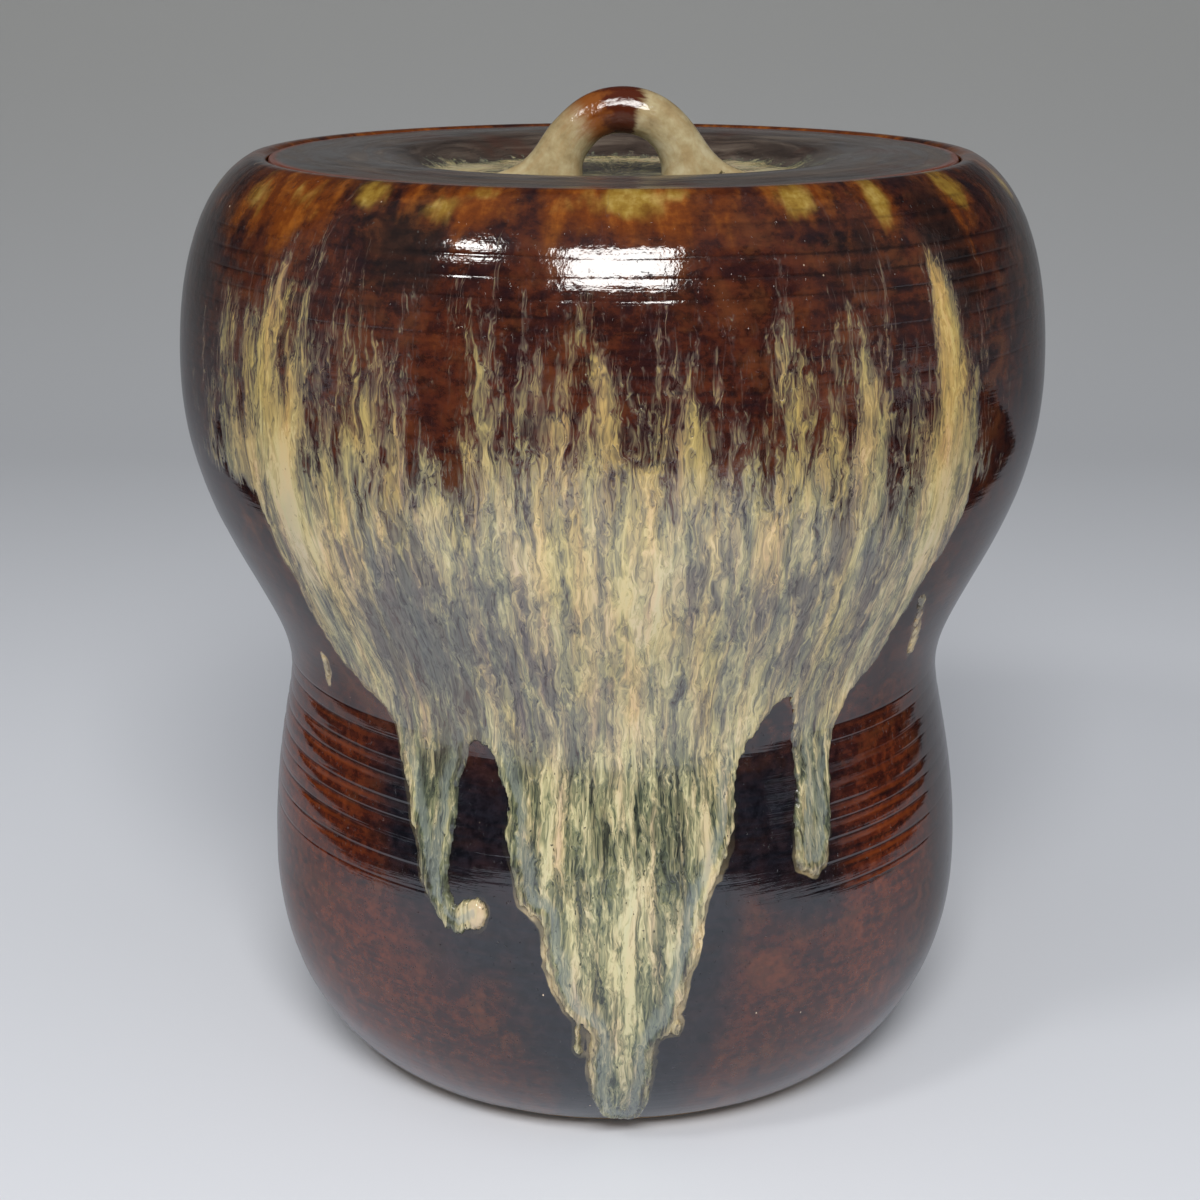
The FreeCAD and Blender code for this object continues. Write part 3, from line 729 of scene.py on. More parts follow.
def objectPlace(tree):
    return put(tree, "ShaderNodeTexCoord").outputs["Object"]


def glossyRay(tree):
    return put(tree, "ShaderNodeLightPath").outputs["Is Glossy Ray"]


def finish(tree, shader, colour, rough, ior, *bumps):
    # Fills the shader; bumps are heights and depths in metres, one on the other
    normal = None
    for height, depth in bumps:
        values = {"Height": height, "Distance": depth, "Strength": 1.0, "Normal": normal}
        normal = put(tree, "ShaderNodeBump", values).outputs[0]
    fill(tree, shader.inputs, {"Base Color": colour, "Roughness": rough, "IOR": ior, "Normal": normal})


jarFinish = {
    "ironGloss": 0.085, "ashGloss": 0.16, "ior": 1.62, "peel": (280, 4, 0.6), "peelUp": (0.14, 0.175, 0.45, 1.8),
    "peelDepth": 0.00006, "lineDepth": 0.00006, "streakDepth": 0.00010,  # m
    "lower": (0.094, 0.076), "upper": (0.128, 0.154),  # run in m over which the ash turns green below and sparse above
}


def jarGlaze(name, least):
    # Iron glaze with poured ash over it; least is the lowest level of ash that the material shows
    material, tree, shader = newMaterial(name)
    flow, edge = attribute(tree, "flow", "Vector"), attribute(tree, "edge")
    run = put(tree, "ShaderNodeSeparateXYZ", {0: flow}).outputs[2]
    shared = {"Flow": flow, "Edge": edge, "Lower": between(tree, run, *jarFinish["lower"])}
    masks = {label: attribute(tree, label.lower()) for label in ("Thrown", "Deep", "Rust", "Yellow", "Amber", "Thick")}
    iron = useGroup(tree, groups["iron"], shared | masks)
    ash = useGroup(tree, groups["ash"], shared | {"Upper": between(tree, run, *jarFinish["upper"]), "Least": least,
                                                 "Cover": attribute(tree, "cover"), "Bead": attribute(tree, "bead")})
    colour = blend(tree, ash["Amount"], iron["Color"], ash["Color"])
    rough = between(tree, ash["Amount"], 0, 1, jarFinish["ironGloss"], jarFinish["ashGloss"])
    peel = times(tree, noise(tree, flow, *jarFinish["peel"]), between(tree, run, *jarFinish["peelUp"]))
    finish(tree, shader, colour, rough, jarFinish["ior"], (peel, jarFinish["peelDepth"]),
           (iron["Height"], jarFinish["lineDepth"]), (ash["Height"], jarFinish["streakDepth"]))
    return material


ironMaterial = jarGlaze("iron glaze", -1.0)
ashMaterial = jarGlaze("ash glaze", 0.27)


def clayMaterial(name, tone, turned):
    material, tree, shader = newMaterial(name)
    clay = useGroup(tree, groups["clay"], {"Place": objectPlace(tree), "Tone": tone, "Turned": turned})
    finish(tree, shader, clay["Color"], 0.85, 1.5, (clay["Height"], 0.00018))
    return material


bareClay = clayMaterial("bare stoneware", tint(158, 132, 100), 1.0)
lidClay = clayMaterial("lid stoneware", tint(122, 76, 52), 0.6)


def innerGlazeMaterial():
    # The same iron glaze inside, plainer: colour by throwing lines and a broad noise
    material, tree, shader = newMaterial("inner glaze")
    place = objectPlace(tree)
    lines = useGroup(tree, groups["lines"], {"Flow": place, "Fine": 700.0})["Lines"]
    tone = sumOf(tree, 0.0, (lines, 0.5), (noise(tree, place, 40), 0.5))
    colour = ramp(tree, tone, [(0.40, (40, 20, 16)), (0.50, (84, 38, 22)), (0.62, (128, 66, 30))])
    finish(tree, shader, colour, 0.12, 1.56, (lines, 0.0003))
    return material


innerGlaze = innerGlazeMaterial()


def turned(radius, height, angle):
    # A profile of radius and height carried round the axis
    radius, height, angle = np.broadcast_arrays(radius, height, angle)
    return np.stack([radius * np.sin(angle), -radius * np.cos(angle), height], -1)


def rowsUp(low, high, bands, close, wide):
    # Places along the run, close together inside the bands of height and wide elsewhere
    at, rows = low, [low]
    bands = [(runAt(a * mm), runAt(b * mm)) for a, b in bands]
    while at < high:
        at += (close if any(a <= at <= b for a, b in bands) else wide) * mm
        rows.append(at)
    rows = np.array(rows[:-1])
    return (low + (rows - low) * (high - low) / (rows[-1] - low))[:, None]


coat = {
    "columns": 384, "thickness": 0.4,
    # height of its lower edge, and reach, size and seed of that edge's sway
    "bareFoot": 2.7, "sway": [(0.5, 14, 41), (0.3, 4, 42)],
    "footRound": 1.2, "dive": 0.04,  # mm over which the lower edge rounds off, and the share that it dives under
    "closeBands": [(53, 84), (148, 176.5)], "closeStep": 0.64, "wideStep": 1.2,
    "lipBend": 1.3, "lipSwell": 0.35, "lipFall": 0.7, "lipDrop": 1.0,  # form of the quarter round over the lip, mm
    "mouth": 65.0, "buried": 0.5, "seat": 170.5,
    "back": (1.5, 0.15, 0.5),  # mm below the lip and inside the wall, and share of the rings, of its hidden side
}


def makeOuterCoat():
    # Closed skin: up the outside over the foot's edge, round the lip into the mouth, and back down inside the wall
    angle = roundOf(coat["columns"])
    flow = flowOf(angle, np.zeros_like(angle))
    sway = sum(reach * mm * softNoise(flow, size * mm, seed) for reach, size, seed in coat["sway"])
    start = runAt(coat["bareFoot"] * mm) + sway
    up = rowsUp(0.0, lipRun, coat["closeBands"], coat["closeStep"], coat["wideStep"])
    run = start + (lipRun - start) * up / lipRun
    roundOff = np.clip((run - start) / (coat["footRound"] * mm), 0, 1)
    thick = coat["thickness"] * mm
    outer = onJar(angle, run, thick * (np.sqrt(1 - (1 - roundOff) ** 2) * (1 + coat["dive"]) - coat["dive"]))
    # over the lip: a flat quarter round from the outside into the mouth
    top = np.linspace(0, math.pi / 2, 7)[1:, None]
    mouth, seat = coat["mouth"] * mm, coat["seat"] * mm
    lipRadius = along("radius", lipRun) + thick * along("out", lipRun)
    lipHeight = along("height", lipRun) + thick * along("rise", lipRun)
    radius = lipRadius - (lipRadius - mouth) * np.sin(top) ** coat["lipBend"]
    height = lipHeight + coat["lipSwell"] * mm * np.sin(2 * top) - coat["lipFall"] * mm * (1 - np.cos(top))
    drop = np.linspace(lipHeight - coat["lipDrop"] * mm, seat, 5)[:, None]
    rim = np.concatenate([turned(radius, height, angle), turned(mouth, drop, angle),
                          turned(mouth + coat["buried"] * mm, seat, angle)])
    below, inside, rings = coat["back"]
    backRun = start + (lipRun - below * mm - start) * np.linspace(1, 0, 26)[:, None]
    points = np.concatenate([outer, rim, onJar(angle, backRun, -inside * mm, rings)])
    runs = np.concatenate([run, np.full(rim.shape[:2], lipRun), backRun])
    return makePiece("outerCoat", points, loopFaces(len(points), coat["columns"], True), "jar", ["outer_iron_glaze"],
                     ironMaterial, glazeMasks(angle, runs, True), sharp=50)


hollow = {
    "columns": 192, "wall": 6.0, "floor": 8.0, "glaze": 0.4, "overlap": 0.1, "seat": 170.5, "seatLow": 164.4,  # mm
    "rings": 0.7, "cornerRise": 12, "sweep": 11.7,  # height above the floor, and reach, of the round into the floor
    "swirl": (0.25, 40, 0.02, 0.2, 1.0, 0.9),  # height, turns and ends of the spiral in the floor
}


def potInside(angle, offset, floor, top):
    # Rows down the inside of the pot: the outline moved in by offset, a quarter round into the floor, then to
    # the middle
    run = np.linspace(lipRun, runAt(floor + hollow["cornerRise"] * mm), 90)[:, None]
    side = onJar(angle, run, -offset, hollow["rings"])
    side = side[side[:, 0, 2] < top]
    radius = np.hypot(side[-1:, :, 0], side[-1:, :, 1])
    turn = np.linspace(0, math.pi / 2, 10)[1:, None]
    sweep, fall = hollow["sweep"] * mm, side[-1:, :, 2] - floor
    corner = turned(radius - sweep * (1 - np.cos(turn)), floor + fall * (1 - np.sin(turn)), angle)
    reach, turns, none, full, edge, edgeFull = hollow["swirl"]
    share = np.linspace(1, none, 16)[1:, None]
    swirl = reach * mm * np.sin(share * turns + angle) * smooth(share, none, full) * smooth(share, edge, edgeFull)
    return np.concatenate([side, corner, turned((radius - sweep) * share, floor + swirl, angle)])


wall = {
    "base": (1.0, 50.2, 24), "foot": 0.9, "lip": 0.4, "footBand": [(0, 8)], "closeStep": 0.7, "wideStep": 2.4,  # mm
    "under": 0.06, "rings": 0.8,  # how far it lies under the coat, and its share of the rings
    "mouth": [(67.3, 176.42), (65.4, 176.3), (65.1, 175.6), (65.02, 170.5)],  # radius and height round the lip
}


def makeWall():
    # Closed wall of clay: base, outside just under the coat, lip, mouth, inside and floor
    angle, floor = roundOf(hollow["columns"]), hollow["floor"] * mm
    base = turned(np.linspace(*wall["base"])[:, None] * mm, 0.0, angle)
    up = rowsUp(wall["foot"] * mm, lipRun - wall["lip"] * mm, wall["footBand"], wall["closeStep"], wall["wideStep"])
    radius, height = np.array(wall["mouth"]).T[..., None] * mm
    rows = [base, onJar(angle, up, -wall["under"] * mm, wall["rings"]), turned(radius, height, angle),
            potInside(angle, hollow["wall"] * mm, floor, hollow["seat"] * mm)]
    points, faces = capped(np.concatenate(rows), hollow["columns"], [[0, 0, 0], [0, 0, floor]])
    return makePiece("jarWall", points, faces, "jar", ["lower_wall", "upper_wall"], bareClay, sharp=35)


def makeInnerCoat():
    # Closed skin on the inside: its face down to the floor's middle, then back up inside the wall
    angle, top = roundOf(hollow["columns"]), hollow["seatLow"] * mm
    rows, ends = [], []
    for out in (-hollow["overlap"], hollow["glaze"]):
        floor = (hollow["floor"] + out) * mm
        rows.append(potInside(angle, (hollow["wall"] + out) * mm, floor, top))
        ends.append([0, 0, floor])
    points, faces = capped(np.concatenate([rows[0][::-1], rows[1]]), hollow["columns"], ends)
    return makePiece("innerCoat", points, faces, "jar", ["inner_glaze"], innerGlaze, sharp=35)


ash = {
    # angles and heights that each piece is looked for in, step of its grid in mm, and the lines it lies between
    "pieces": {
        "ashSheet": {"node": "ash_glaze_sheet", "turn": (-63, 62), "height": (79.1, 158.5), "step": 0.62,
                     "lines": (None, None)},
        "leftRun": {"node": "left_glaze_run", "turn": (-44, -17), "height": (43.5, 79.1), "step": 0.3,
                    "lines": (None, "left")},
        "centreRun": {"node": "centre_glaze_run", "turn": (-24, 25), "height": (3.4, 79.1), "step": 0.33,
                      "lines": ("left", "right")},
        "rightRun": {"node": "right_glaze_run", "turn": (24, 44), "height": (52.0, 79.1), "step": 0.3,
                     "lines": ("right", None)},
    },
    "partings": {"left": ([50, 56, 79.1], [-19.3, -22.8, -23.5]), "right": ([0], [27.5])},  # heights, and mm across at each
    "spacing": 72.0,  # radius that the grid's columns are counted on
    "sheet": 0.45, "run": 0.88, "thickens": (62, 92), "bead": 0.85, "settle": (0.26, 0.9, 2.4),
    # mm that it dives under the coat and over what width, and how far the grid goes on
    "under": (0.25, 0.5), "outside": 0.6,
    # heights, and degrees from the middle, over which it thins out to a film
    "thinUp": (116, 140), "thinSide": (104, 120), "thinTurn": (40, 50),
    "film": (0.16, 0.12, 0.45), "gone": 0.22, "goneUp": (150, 157), "goneTurn": (49, 54),
    # angle, height, rise, radius and stretch of the round drop that ends the left run
    "ball": (-20.6, 49.4, 0.55, 2.3, 1.2),
    "coat": 0.4, "foot": 0.08, "footRings": 0.6, "filled": 0.55,  # mm of coat under it, and how much it fills the rings
}


def ashThickness(edge, height, turn, coverage):
    # Height of the ash over the coat in mm: a quarter round bead at the edge that settles to a thinner middle,
    # diving under the coat outside the edge, and fading to nothing where the streaks thin out above and at the
    # sides; and how thinned out it is, 0 to 1
    side = np.abs(turn - poured["middle"])
    full = ash["run"] + (ash["sheet"] - ash["run"]) * smooth(height, *ash["thickens"])
    bead = np.sqrt(1 - (1 - np.clip(edge / ash["bead"], 0, 1)) ** 2)
    settle, near, far = ash["settle"]
    at, up, rise, radius, stretch = ash["ball"]
    away = np.hypot((turn - at) * stretch, height - up) / radius
    body = full * (bead - settle * smooth(edge, near, far)) + rise * np.sqrt(np.clip(1 - away ** 2, 0, 1))
    thin = np.maximum(smooth(height, *ash["thinUp"]), smooth(height, *ash["thinSide"]) * smooth(side, *ash["thinTurn"]))
    film, low, high = ash["film"]
    gone = np.maximum(smooth(height, *ash["goneUp"]), smooth(side, *ash["goneTurn"]))
    inside = body * (1 - thin) + (film * smooth(coverage, low, high) - ash["gone"] * gone) * thin
    under, width = ash["under"]
    return np.where(edge > 0, inside, -under * smooth(-edge, 0, width)), thin


def makeAsh(name, spec):
    # A closed shell over the coat: grid points inside the poured edge, the same points just under the coat, and
    # a wall between them
    low, high = (runAt(h * mm) for h in spec["height"])
    left, right = (math.radians(a) for a in spec["turn"])
    rows = round((high - low) / (spec["step"] * mm))
    columns = round((right - left) * ash["spacing"] / spec["step"])
    run, angle = np.meshgrid(np.linspace(low, high, rows), np.linspace(left, right, columns), indexing="ij")
    masks = glazeMasks(angle, run)
    height, turn = along("height", run) / mm, np.degrees(angle)
    thick, thin = ashThickness(masks["edge"], height, turn, masks["cover"])
    keep, across = masks["edge"] > -ash["outside"], along("radius", run) * np.sin(angle) / mm
    for line, side in zip(spec["lines"], (1, -1)):
        if line:
            keep &= side * (across - np.interp(height, *ash["partings"][line])) > 0
    top = onJar(angle, run, (ash["coat"] + thick) * mm, 1 - ash["filled"] * (1 - thin))
    under = onJar(angle, run, ash["foot"] * mm, ash["footRings"])
    quads = sheetFaces(rows, columns)
    used, quads = np.unique(quads[keep.ravel()[quads].all(1)], return_inverse=True)
    quads, count = quads.reshape(-1, 4), len(used)
    sides = np.stack([quads, np.roll(quads, -1, 1)], -1).reshape(-1, 2)
    border = sides[~np.isin(sides @ (count, 1), sides @ (1, count))]  # sides that no other quad has the other way round
    walls = np.concatenate([border[:, ::-1], border + count], 1)
    points = np.concatenate([top.reshape(-1, 3)[used], under.reshape(-1, 3)[used]])
    faces = np.concatenate([quads, quads[:, ::-1] + count, walls])
    values = {label: np.tile(value.reshape(rows * columns, -1)[used], (2, 1)).squeeze()
              for label, value in masks.items()}
    return makePiece(name, points, faces, "jar", [spec["node"]], ashMaterial, values)


print("building the jar")
outerCoat = makeOuterCoat()
jarWall = makeWall()
innerCoat = makeInnerCoat()
ashParts = [makeAsh(name, spec) for name, spec in ash["pieces"].items()]


lidShape = {
    "top": 176.5, "radius": 64.7, "edgeRound": 0.5, "dishRim": 47.0, "dishFloor": 29.0, "floor": 171.3, "glaze": 0.4,
    "unrolled": 40.0,  # radius of the even round that patterns are laid out on
    # ash in the dish: strength, radius and spread of its ring, then strength and radii where it begins and ends
    "ring": (0.60, 29, 6.5), "middle": (0.34, 30, 18), "beyond": (0.45, 33, 40), "patchy": (0.10, 6),
    # wisps of ash: angle, half width, reach and strength; and mm round their ends over which they fade
    "wisps": [(84, 9, 47, 0.62), (68, 5, 43, 0.5), (101, 6, 44, 0.45), (124, 10, 38, 0.4), (-84, 16, 39, 0.55),
              (-112, 14, 40, 0.4), (160, 30, 34, 0.3), (-150, 20, 35, 0.3), (20, 30, 33, 0.2), (-35, 25, 34, 0.25)],
    "wispEnd": (4, -6), "wispStart": (22, 28),
}


def lidHeight(radius):
    # Bare top of the lid in mm: level ring, cubic Bezier slope with level ends, level floor, and a rounded
    # outer edge
    rim, low, edge = lidShape["dishRim"], lidShape["dishFloor"], lidShape["edgeRound"]
    t = np.linspace(0, 1, 60)
    k, half = 1 - t, (rim - low) / 2
    across = k**3 * rim + 3 * k * k * t * (rim - half) + 3 * k * t * t * (low + half) + t**3 * low
    height = lidShape["top"] + (lidShape["floor"] - lidShape["top"]) * (3 * k * t * t + t**3)
    past = np.clip(radius - (lidShape["radius"] - edge), 0, edge)
    return np.interp(radius, across[::-1], height[::-1]) - edge + np.sqrt(edge ** 2 - past ** 2)


def lidFlow(angle, radius):
    # Place on an unrolled lid: an even round and the radius, all in metres
    return turned(lidShape["unrolled"] * mm, radius * mm, angle)


def lidCover(angle, radius):
    # How much ash lies on the lid: a ring in the dish and wisps drawn outwards from it
    turn = turnOf(angle)
    ring, middle, beyond, patchy = (lidShape[k] for k in ("ring", "middle", "beyond", "patchy"))
    level = ring[0] * bell(radius, *ring[1:]) + middle[0] * smooth(radius, *middle[1:])
    level = level - beyond[0] * smooth(radius, *beyond[1:])
    for at, wide, reach, strength in lidShape["wisps"]:
        ends = smooth(radius, *(reach + more for more in lidShape["wispEnd"])) * smooth(radius, *lidShape["wispStart"])
        level = level + strength * bell((turn - at + 180) % 360 - 180, 0, wide) * ends
    return level + patchy[0] * softNoise(lidFlow(angle, radius), patchy[1] * mm, 51)


def lidPiece(name, radius, low, top, angle, middles, node):
    # A closed disc on the lid: its underside outwards from the middle, then its top back to the middle
    points = np.concatenate([turned(radius * mm, low * mm, angle), turned(radius * mm, top * mm, angle)[::-1]])
    angle, away = np.broadcast_arrays(angle, np.concatenate([radius, radius[::-1]]))
    masks = {"flow": lidFlow(angle, away), "cover": lidCover(angle, away), "rim": away}
    points, faces = capped(points, angle.shape[1], [[0, 0, height * mm] for height in middles])
    return makePiece(name, points, faces, "lid", [node], lidGlaze, cappedValues(masks))


lidCoatShape = {
    "columns": 320, "radii": [(0.8, 26, 26), (26.6, 62.6, 66), (62.8, 64.7, 12)],  # from, to and number of rings
    "rimRound": 0.6, "rimDive": 0.05, "under": 0.25,  # mm
    "tilt": (0.34, (44, 51), (51, 64), 1.55),  # swell of the level ring: height, where it rises and falls, and how far
    "swirl": 0.03, "bend": (2.2, 22, 53), "smear": ((26, 26, 1.5), 54, 50), "smearEnd": (63, 60),  # brush marks
    "crawl": (0.036, 5, 55),
}


def brushed(angle, radius):
    # Wavy smears of the brush: noise long around the lid, bent by a slower one
    flow, (reach, size, seed) = lidFlow(angle, radius), lidCoatShape["bend"]
    flow = flow + reach * mm * softNoise(flow, size * mm, seed)[..., None] * (0, 0, 1)
    size, seed, waves = lidCoatShape["smear"]
    return softNoise(flow, np.array(size) * mm, seed, waves) * smooth(radius, *lidCoatShape["smearEnd"])


def makeLidCoat():
    # Closed skin on the lid: the lid's top moved up by the glaze, over the rounded edge, and back inside the clay
    spec, angle = lidCoatShape, roundOf(lidCoatShape["columns"])
    radius = np.concatenate([np.linspace(*part) for part in spec["radii"]])[:, None]
    fade = np.sqrt(1 - np.clip((radius - lidShape["radius"]) / spec["rimRound"] + 1, 0, 1) ** 2)
    rise, up, down, share = spec["tilt"]
    reach, size, seed = spec["crawl"]
    thick = lidShape["glaze"] + rise * (smooth(radius, *up) - smooth(radius, *down) * share)
    thick = thick + spec["swirl"] * brushed(angle, radius) + reach * softNoise(lidFlow(angle, radius), size * mm, seed)
    bare, floor = lidHeight(radius), lidShape["floor"]
    return lidPiece("lidCoat", radius, bare - spec["under"], bare + thick * fade - spec["rimDive"] * (1 - fade), angle,
                    (floor - spec["under"], floor + lidShape["glaze"]), "lid_iron_glaze")


pool = {
    "columns": 256, "radii": (0.8, 36.5, 56), "top": 172.7, "waves": (0.07, 9, 61), "rim": (0.22, 29, 35),
    "under": 0.2, "underRim": (0.5, 28, 36),
}


def makeAshPool():
    # Glaze that ran together in the dish: a nearly level disc whose rim ends under the coat of the slope
    angle, radius = roundOf(pool["columns"]), np.linspace(*pool["radii"])[:, None]
    (reach, size, seed), (rise, start, end), (lift, near, far) = (pool[k] for k in ("waves", "rim", "underRim"))
    top = pool["top"] + reach * softNoise(lidFlow(angle, radius), size * mm, seed) + rise * smooth(radius, start, end)
    under = lidShape["floor"] - pool["under"]
    return lidPiece("ashPool", radius, under + lift * smooth(radius, near, far), top, angle, (under, pool["top"]),
                    "lid_ash_pool")


handle = {
    "shift": 1.7, "halfSpan": 12.4, "rise": 13.3, "roll": 3.85, "skin": 0.4, "floor": 171.3, "pool": 172.7,
    "past": 0.10,  # radians that the arch goes on below the dish
    "spread": 0.28, "spreadPower": 3,  # how much the legs thicken towards the lid
    # reach left and right, height of fading, and narrowing
    "toes": (6.9, 7.2), "toeFade": 2.1, "toeSharp": 1.4, "pinch": 0.55,
    "around": 80, "along": 170, "uneven": (0.14, 7, 71), "unevenArch": 20, "unevenRoll": 6, "flow": (9, 18),
}


def makeHandle():
    # Bent roll of clay: an oval carried along half an ellipse, thicker towards the lid, whose outer side is
    # drawn out into a thin pointed toe that fades upwards
    p = handle
    t = np.linspace(-p["past"], math.pi + p["past"], p["along"])[:, None]
    u = np.linspace(0, 2 * math.pi, p["around"], endpoint=False)[None, :]
    t, u = np.broadcast_arrays(t, u)
    arch, roll, (reach, grain, seed) = p["unevenArch"], p["unevenRoll"], p["uneven"]
    place = np.stack([arch * np.cos(t), roll * np.cos(u), arch * np.sin(t) + roll * np.sin(u)], -1) * mm
    spread = 1 + p["spread"] * (1 - np.clip(np.sin(t), 0, 1)) ** p["spreadPower"]
    thick = p["roll"] * spread + p["skin"] + reach * softNoise(place, grain * mm, seed)
    outX, outZ = p["rise"] * np.cos(t), p["halfSpan"] * np.sin(t)
    size = np.hypot(outX, outZ)
    x = p["shift"] + p["halfSpan"] * np.cos(t) + outX / size * thick * np.cos(u)
    z = p["floor"] + p["rise"] * np.sin(t) + outZ / size * thick * np.cos(u)
    drawnOut = np.exp(-np.clip(z - p["pool"], 0, None) / p["toeFade"]) * np.clip(np.cos(u), 0, 1) ** p["toeSharp"]
    x = x + np.where(np.cos(t) > 0, p["toes"][1], -p["toes"][0]) * drawnOut
    y = thick * np.sin(u) * (1 - p["pinch"] * drawnOut)
    points = np.stack([x, y, z], -1) * mm
    wide, long = p["flow"]
    flow = np.stack([wide * np.cos(u), wide * np.sin(u), long * t], -1) * mm
    masks = {"bow": np.cos(t), "flow": flow, "foot": z - p["floor"]}
    points, faces = capped(points, p["around"], [points[0].mean(0), points[-1].mean(0)])
    return makePiece("handleGlaze", points, faces, "lid", ["handle_ash_glaze", "lid_handle"],
                     handleMaterial, cappedValues(masks), sharp=70)


def lidGlazeMaterial():
    # Grey-brown glossy glaze with brushed smears, ash streaks drawn over it, and a redder thin edge
    material, tree, shader = newMaterial("lid glaze")
    flow = attribute(tree, "flow", "Vector")
    bent = strayed(tree, flow, 55, 2, (0, 0, 0.0035))
    smear = noise(tree, vectorCalc(tree, "MULTIPLY", bent, (0.20, 0.20, 1)), 300, 5, 0.6, 0.5)
    colour = ramp(tree, smear, [(0.34, (46, 38, 34)), (0.48, (66, 56, 50)), (0.58, (84, 73, 65)),
                                (0.70, (104, 93, 83))])
    cloud = drawn(tree, flow, 0.8, 70, 3, 0.55)
    ash = useGroup(tree, groups["ash"], {"Flow": tall(tree, flow, 4.6), "Cover": attribute(tree, "cover"), "Edge": 30.0,
                                         "Lower": 0.5, "Upper": 0.0, "Least": -1.0, "Bead": 0.0})
    outer = sumOf(tree, attribute(tree, "rim"), (noise(tree, flow, 300), 1.4))
    colour = layered(tree, colour, (between(tree, cloud, 0.50, 0.68, 0, 0.38), (84, 44, 30)),
                     (ash["Amount"], ash["Color"]), (between(tree, outer, 63.5, 64.6), (118, 58, 38)))
    rough = between(tree, smear, 0.35, 0.65, 0.14, 0.26)
    finish(tree, shader, colour, rough, 1.56, (smear, 0.0001), (ash["Height"], 0.0001))
    return material


def handleGlazeMaterial():
    # Cream glaze, darker in streaks and pits, with a brown patch over the top of the arch that has one soft and
    # one sharp side and is darkest in its middle
    material, tree, shader = newMaterial("handle glaze")
    place = objectPlace(tree)
    cloud = noise(tree, place, 260, 4, 0.6)
    run = drawn(tree, attribute(tree, "flow", "Vector"), 0.35, 420, 4, 0.6, 0.3)
    colour = ramp(tree, cloud, [(0.32, (142, 124, 90)), (0.46, (162, 145, 108)), (0.56, (174, 160, 124)),
                                (0.70, (186, 174, 142))])
    edge = sumOf(tree, -0.15, (run, 0.30), (attribute(tree, "bow"), 1.0))
    away = calc(tree, "ABSOLUTE", calc(tree, "SUBTRACT", edge, 0.06))
    deep = between(tree, sumOf(tree, 0.0, (cloud, 0.8), (away, -0.9)), -0.02, 0.22)
    pit = between(tree, noise(tree, place, 620, 2), 0.70, 0.74)
    pit = times(tree, pit, between(tree, attribute(tree, "foot"), 4.0, 1.5))
    colour = layered(tree, colour, (between(tree, run, 0.46, 0.62, 0, 0.35), (158, 132, 92)),
                     (band(tree, edge, -0.82, -0.40, 0.18, 0.32), blend(tree, deep, (124, 70, 28), (74, 30, 15))),
                     (pit, (66, 58, 36)))
    finish(tree, shader, colour, 0.12, 1.56, (noise(tree, place, 420), 0.00016), (run, 0.00012))
    return material


print("building the lid")
lidGlaze = lidGlazeMaterial()
handleMaterial = handleGlazeMaterial()
lidCoat = makeLidCoat()
ashPool = makeAshPool()
handleGlaze = makeHandle()

keptClay = {"lid_plate": lidClay, "lid_flange": bareClay, "lid_seat": bareClay}
for name, material in keptClay.items():
    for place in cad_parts[name].material_slots:
        place.material = material


stage = {
    "halfWidth": 4.0, "near": -4.0, "flat": 0.5, "curve": 0.5, "top": 3.0,  # m
    # colours of the paper low and high, and of the dark upper wall, with the heights between which each begins; painted
    # shade that darkens the paper further back and higher up
    "low": (226, 229, 236), "high": (166, 166, 164), "upper": (74, 74, 76),
    "highFrom": (0.05, 1.15), "upperFrom": (0.22, 0.60),
    # painted reflection: how reflections see the paper, in front of the jar and behind it, places between, and a glow
    # in front that only reflections see
    "mirrored": (240, 246, 255), "mirroredBack": (206, 206, 208), "mirroredFrom": (0.03, -0.10), "mirroredGlow": 0.22,
    "shadeNear": -0.48, "shadeSide": (0.21, 0.37), "shadeBack": (-0.03, 0.27), "shadeFar": -1.2, "shadeTop": 1.6,
    "shadeHalfWidth": 1.4, "shadeLift": 0.002, "shadeColour": (14, 15, 19),
    "lamps": [
        # place, size x, size y, power in watts, outline
        ((0.018, -0.823, 0.832), 0.48, 0.33, 9.5, "RECTANGLE"),
        ((-0.525, -0.54, 0.885), 0.18, 0.15, 1.7, "ELLIPSE"),
    ],
    "lampColour": (1.0, 0.985, 0.96), "aim": (0.0, -0.03, 0.12),
    "worldColour": (0.93, 0.96, 1.0, 1.0), "world": 0.42, "worldSeen": 0.10,  # soft light, and how bright reflections see it
}


def stagePiece(name, corners, faces, material):
    mesh = bpy.data.meshes.new(name)
    mesh.from_pydata(corners, [], faces)
    mesh.materials.append(material)
    piece = bpy.data.objects.new(name, mesh)
    scene.collection.objects.link(piece)
    return piece


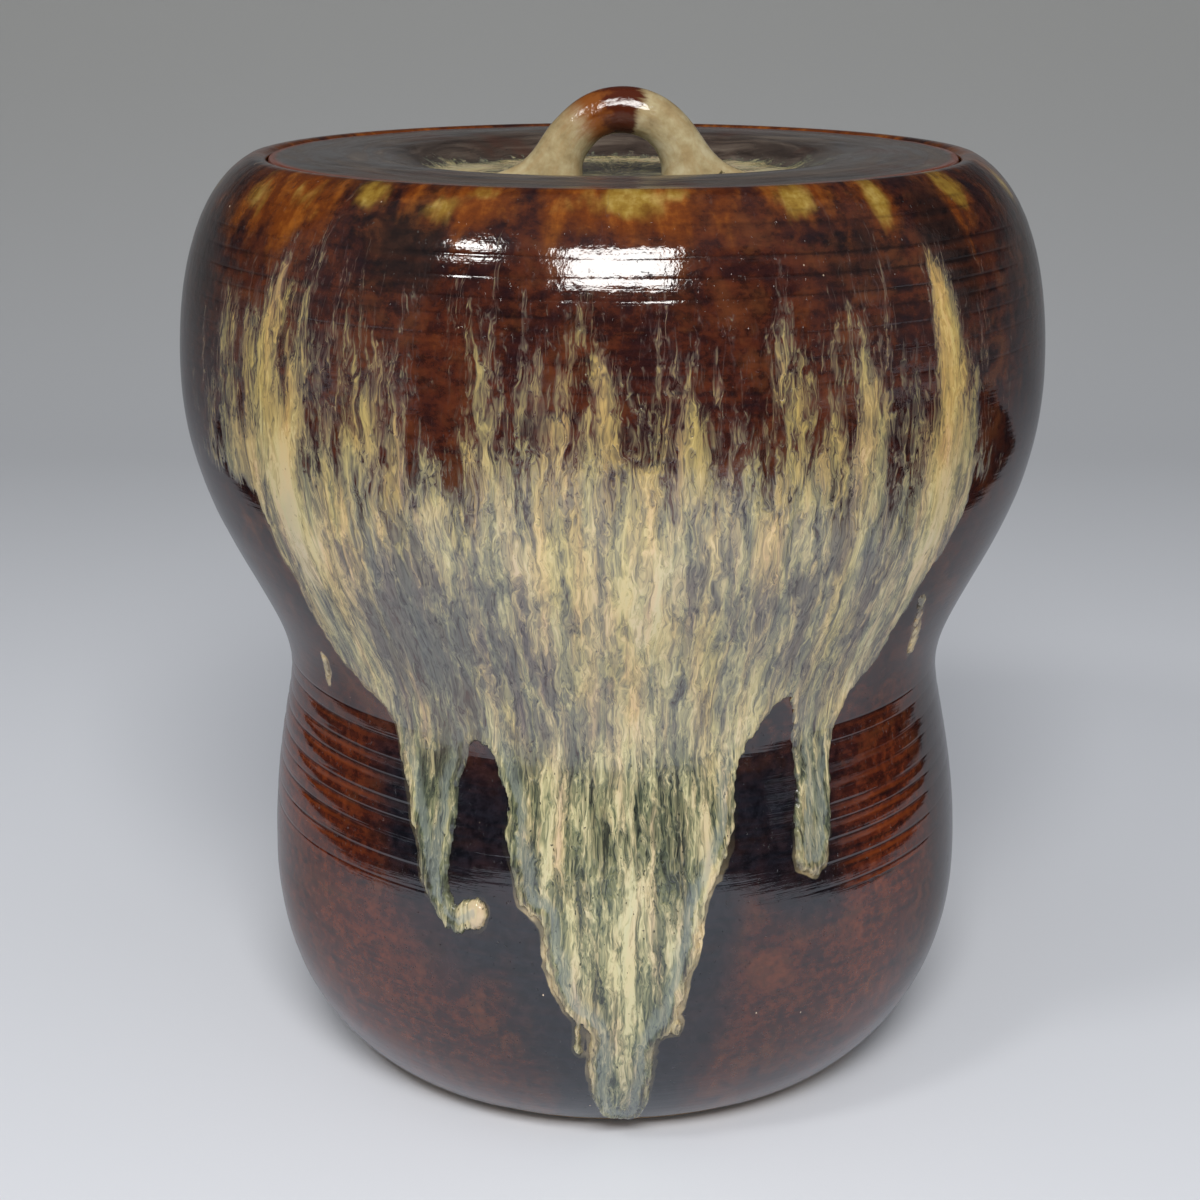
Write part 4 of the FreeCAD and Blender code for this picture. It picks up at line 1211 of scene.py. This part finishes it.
def makeFloor():
    # Floor that turns up into a wall through a quarter circle
    flat, curve = stage["flat"], stage["curve"]
    turn = np.linspace(0, math.pi / 2, 24)[1:]
    y = np.concatenate([np.linspace(stage["near"], flat, 40), flat + curve * np.sin(turn), [flat + curve]])
    z = np.concatenate([np.zeros(40), curve * (1 - np.cos(turn)), [stage["top"]]])
    x = np.linspace(-stage["halfWidth"], stage["halfWidth"], 9)
    points = np.stack(np.broadcast_arrays(x[None, :], y[:, None], z[:, None]), -1)
    material, tree, shader = newMaterial("pale paper")
    deep, up = put(tree, "ShaderNodeSeparateXYZ", {0: objectPlace(tree)}).outputs[1:]
    # painted shade: the paper's colour darkens further back and higher up, and darker still on the upper wall
    paper = blend(tree, between(tree, calc(tree, "ADD", deep, up), *stage["highFrom"]), stage["low"], stage["high"])
    paper = blend(tree, between(tree, up, *stage["upperFrom"]), paper, stage["upper"])
    # painted reflection: reflections see the paper tinted, darker behind the jar, and glowing in front of it
    seen, front = between(tree, glossyRay(tree), 0, 1), between(tree, deep, *stage["mirroredFrom"])
    light = blend(tree, front, stage["mirroredBack"], stage["mirrored"])
    glow = times(tree, seen, front, stage["mirroredGlow"])
    fill(tree, shader.inputs, {"Emission Color": tint(*stage["mirrored"]), "Emission Strength": glow})
    finish(tree, shader, blend(tree, seen, paper, blend(tree, 1.0, paper, light, "MULTIPLY")), 0.9, 1.5)
    floor = stagePiece("floor", points.reshape(-1, 3).tolist(), sheetFaces(len(y), len(x)).tolist(), material)
    floor.data.polygons.foreach_set("use_smooth", np.ones(len(floor.data.polygons), bool))


def makeRoomShade():
    # Dark cards that only reflections see: the table ends before the jar and beside it, and the room beyond is dark
    w, near, far, up, top = (stage[k] for k in ("shadeHalfWidth", "shadeNear", "shadeFar", "shadeLift", "shadeTop"))
    (side, sideBack), (turn, back) = stage["shadeSide"], stage["shadeBack"]
    corners = [(-w, near, up), (w, near, up), (w, far, up), (-w, far, up), (w, far, top), (-w, far, top)]
    card = [(side, near), (w, near), (w, back), (sideBack, back), (side, turn)]
    corners += [(s * x, y, up) for s in (-1, 1) for x, y in card]
    material, tree, shader = newMaterial("dark room")
    tree.nodes.remove(shader)
    dark = put(tree, "ShaderNodeEmission", {"Color": tint(*stage["shadeColour"]), "Strength": 1.0})
    tree.links.new(dark.outputs[0], tree.nodes["Material Output"].inputs[0])
    shade = stagePiece("roomShade", corners, [(0, 1, 2, 3), (3, 2, 4, 5), (6, 7, 8, 9, 10), (15, 14, 13, 12, 11)], material)
    shade.visible_camera = shade.visible_diffuse = shade.visible_shadow = shade.visible_transmission = False


def addLamps():
    for n, (place, wide, high, power, outline) in enumerate(stage["lamps"]):
        lamp = bpy.data.lights.new(f"lamp{n}", "AREA")
        lamp.shape, lamp.size, lamp.size_y, lamp.energy = outline, wide, high, power
        lamp.color = stage["lampColour"]
        holder = bpy.data.objects.new(f"lamp{n}", lamp)
        holder.location = place
        holder.rotation_euler = (Vector(stage["aim"]) - Vector(place)).to_track_quat("-Z", "Y").to_euler()
        holder.visible_camera = False
        scene.collection.objects.link(holder)
    world = bpy.data.worlds.new("room")
    scene.world = world
    world.use_nodes = True
    tree = world.node_tree
    background = tree.nodes["Background"]
    background.inputs[0].default_value = stage["worldColour"]
    tree.links.new(between(tree, glossyRay(tree), 0, 1, stage["world"], stage["worldSeen"]), background.inputs[1])


cameraView = {"place": (-0.0025, -0.4085, 0.2134), "down": 17.06, "lens": 63.58, "sensor": 36.0, "near": 0.01}


def addCamera():
    camera = bpy.data.cameras.new("camera")
    camera.lens, camera.sensor_width, camera.clip_start = cameraView["lens"], cameraView["sensor"], cameraView["near"]
    holder = bpy.data.objects.new("camera", camera)
    holder.location = cameraView["place"]
    holder.rotation_euler = (math.radians(90 - cameraView["down"]), 0, 0)
    scene.collection.objects.link(holder)
    scene.camera = holder


print("setting the stage")
makeFloor()
makeRoomShade()
addLamps()
addCamera()
scene.view_settings.view_transform = "Standard"
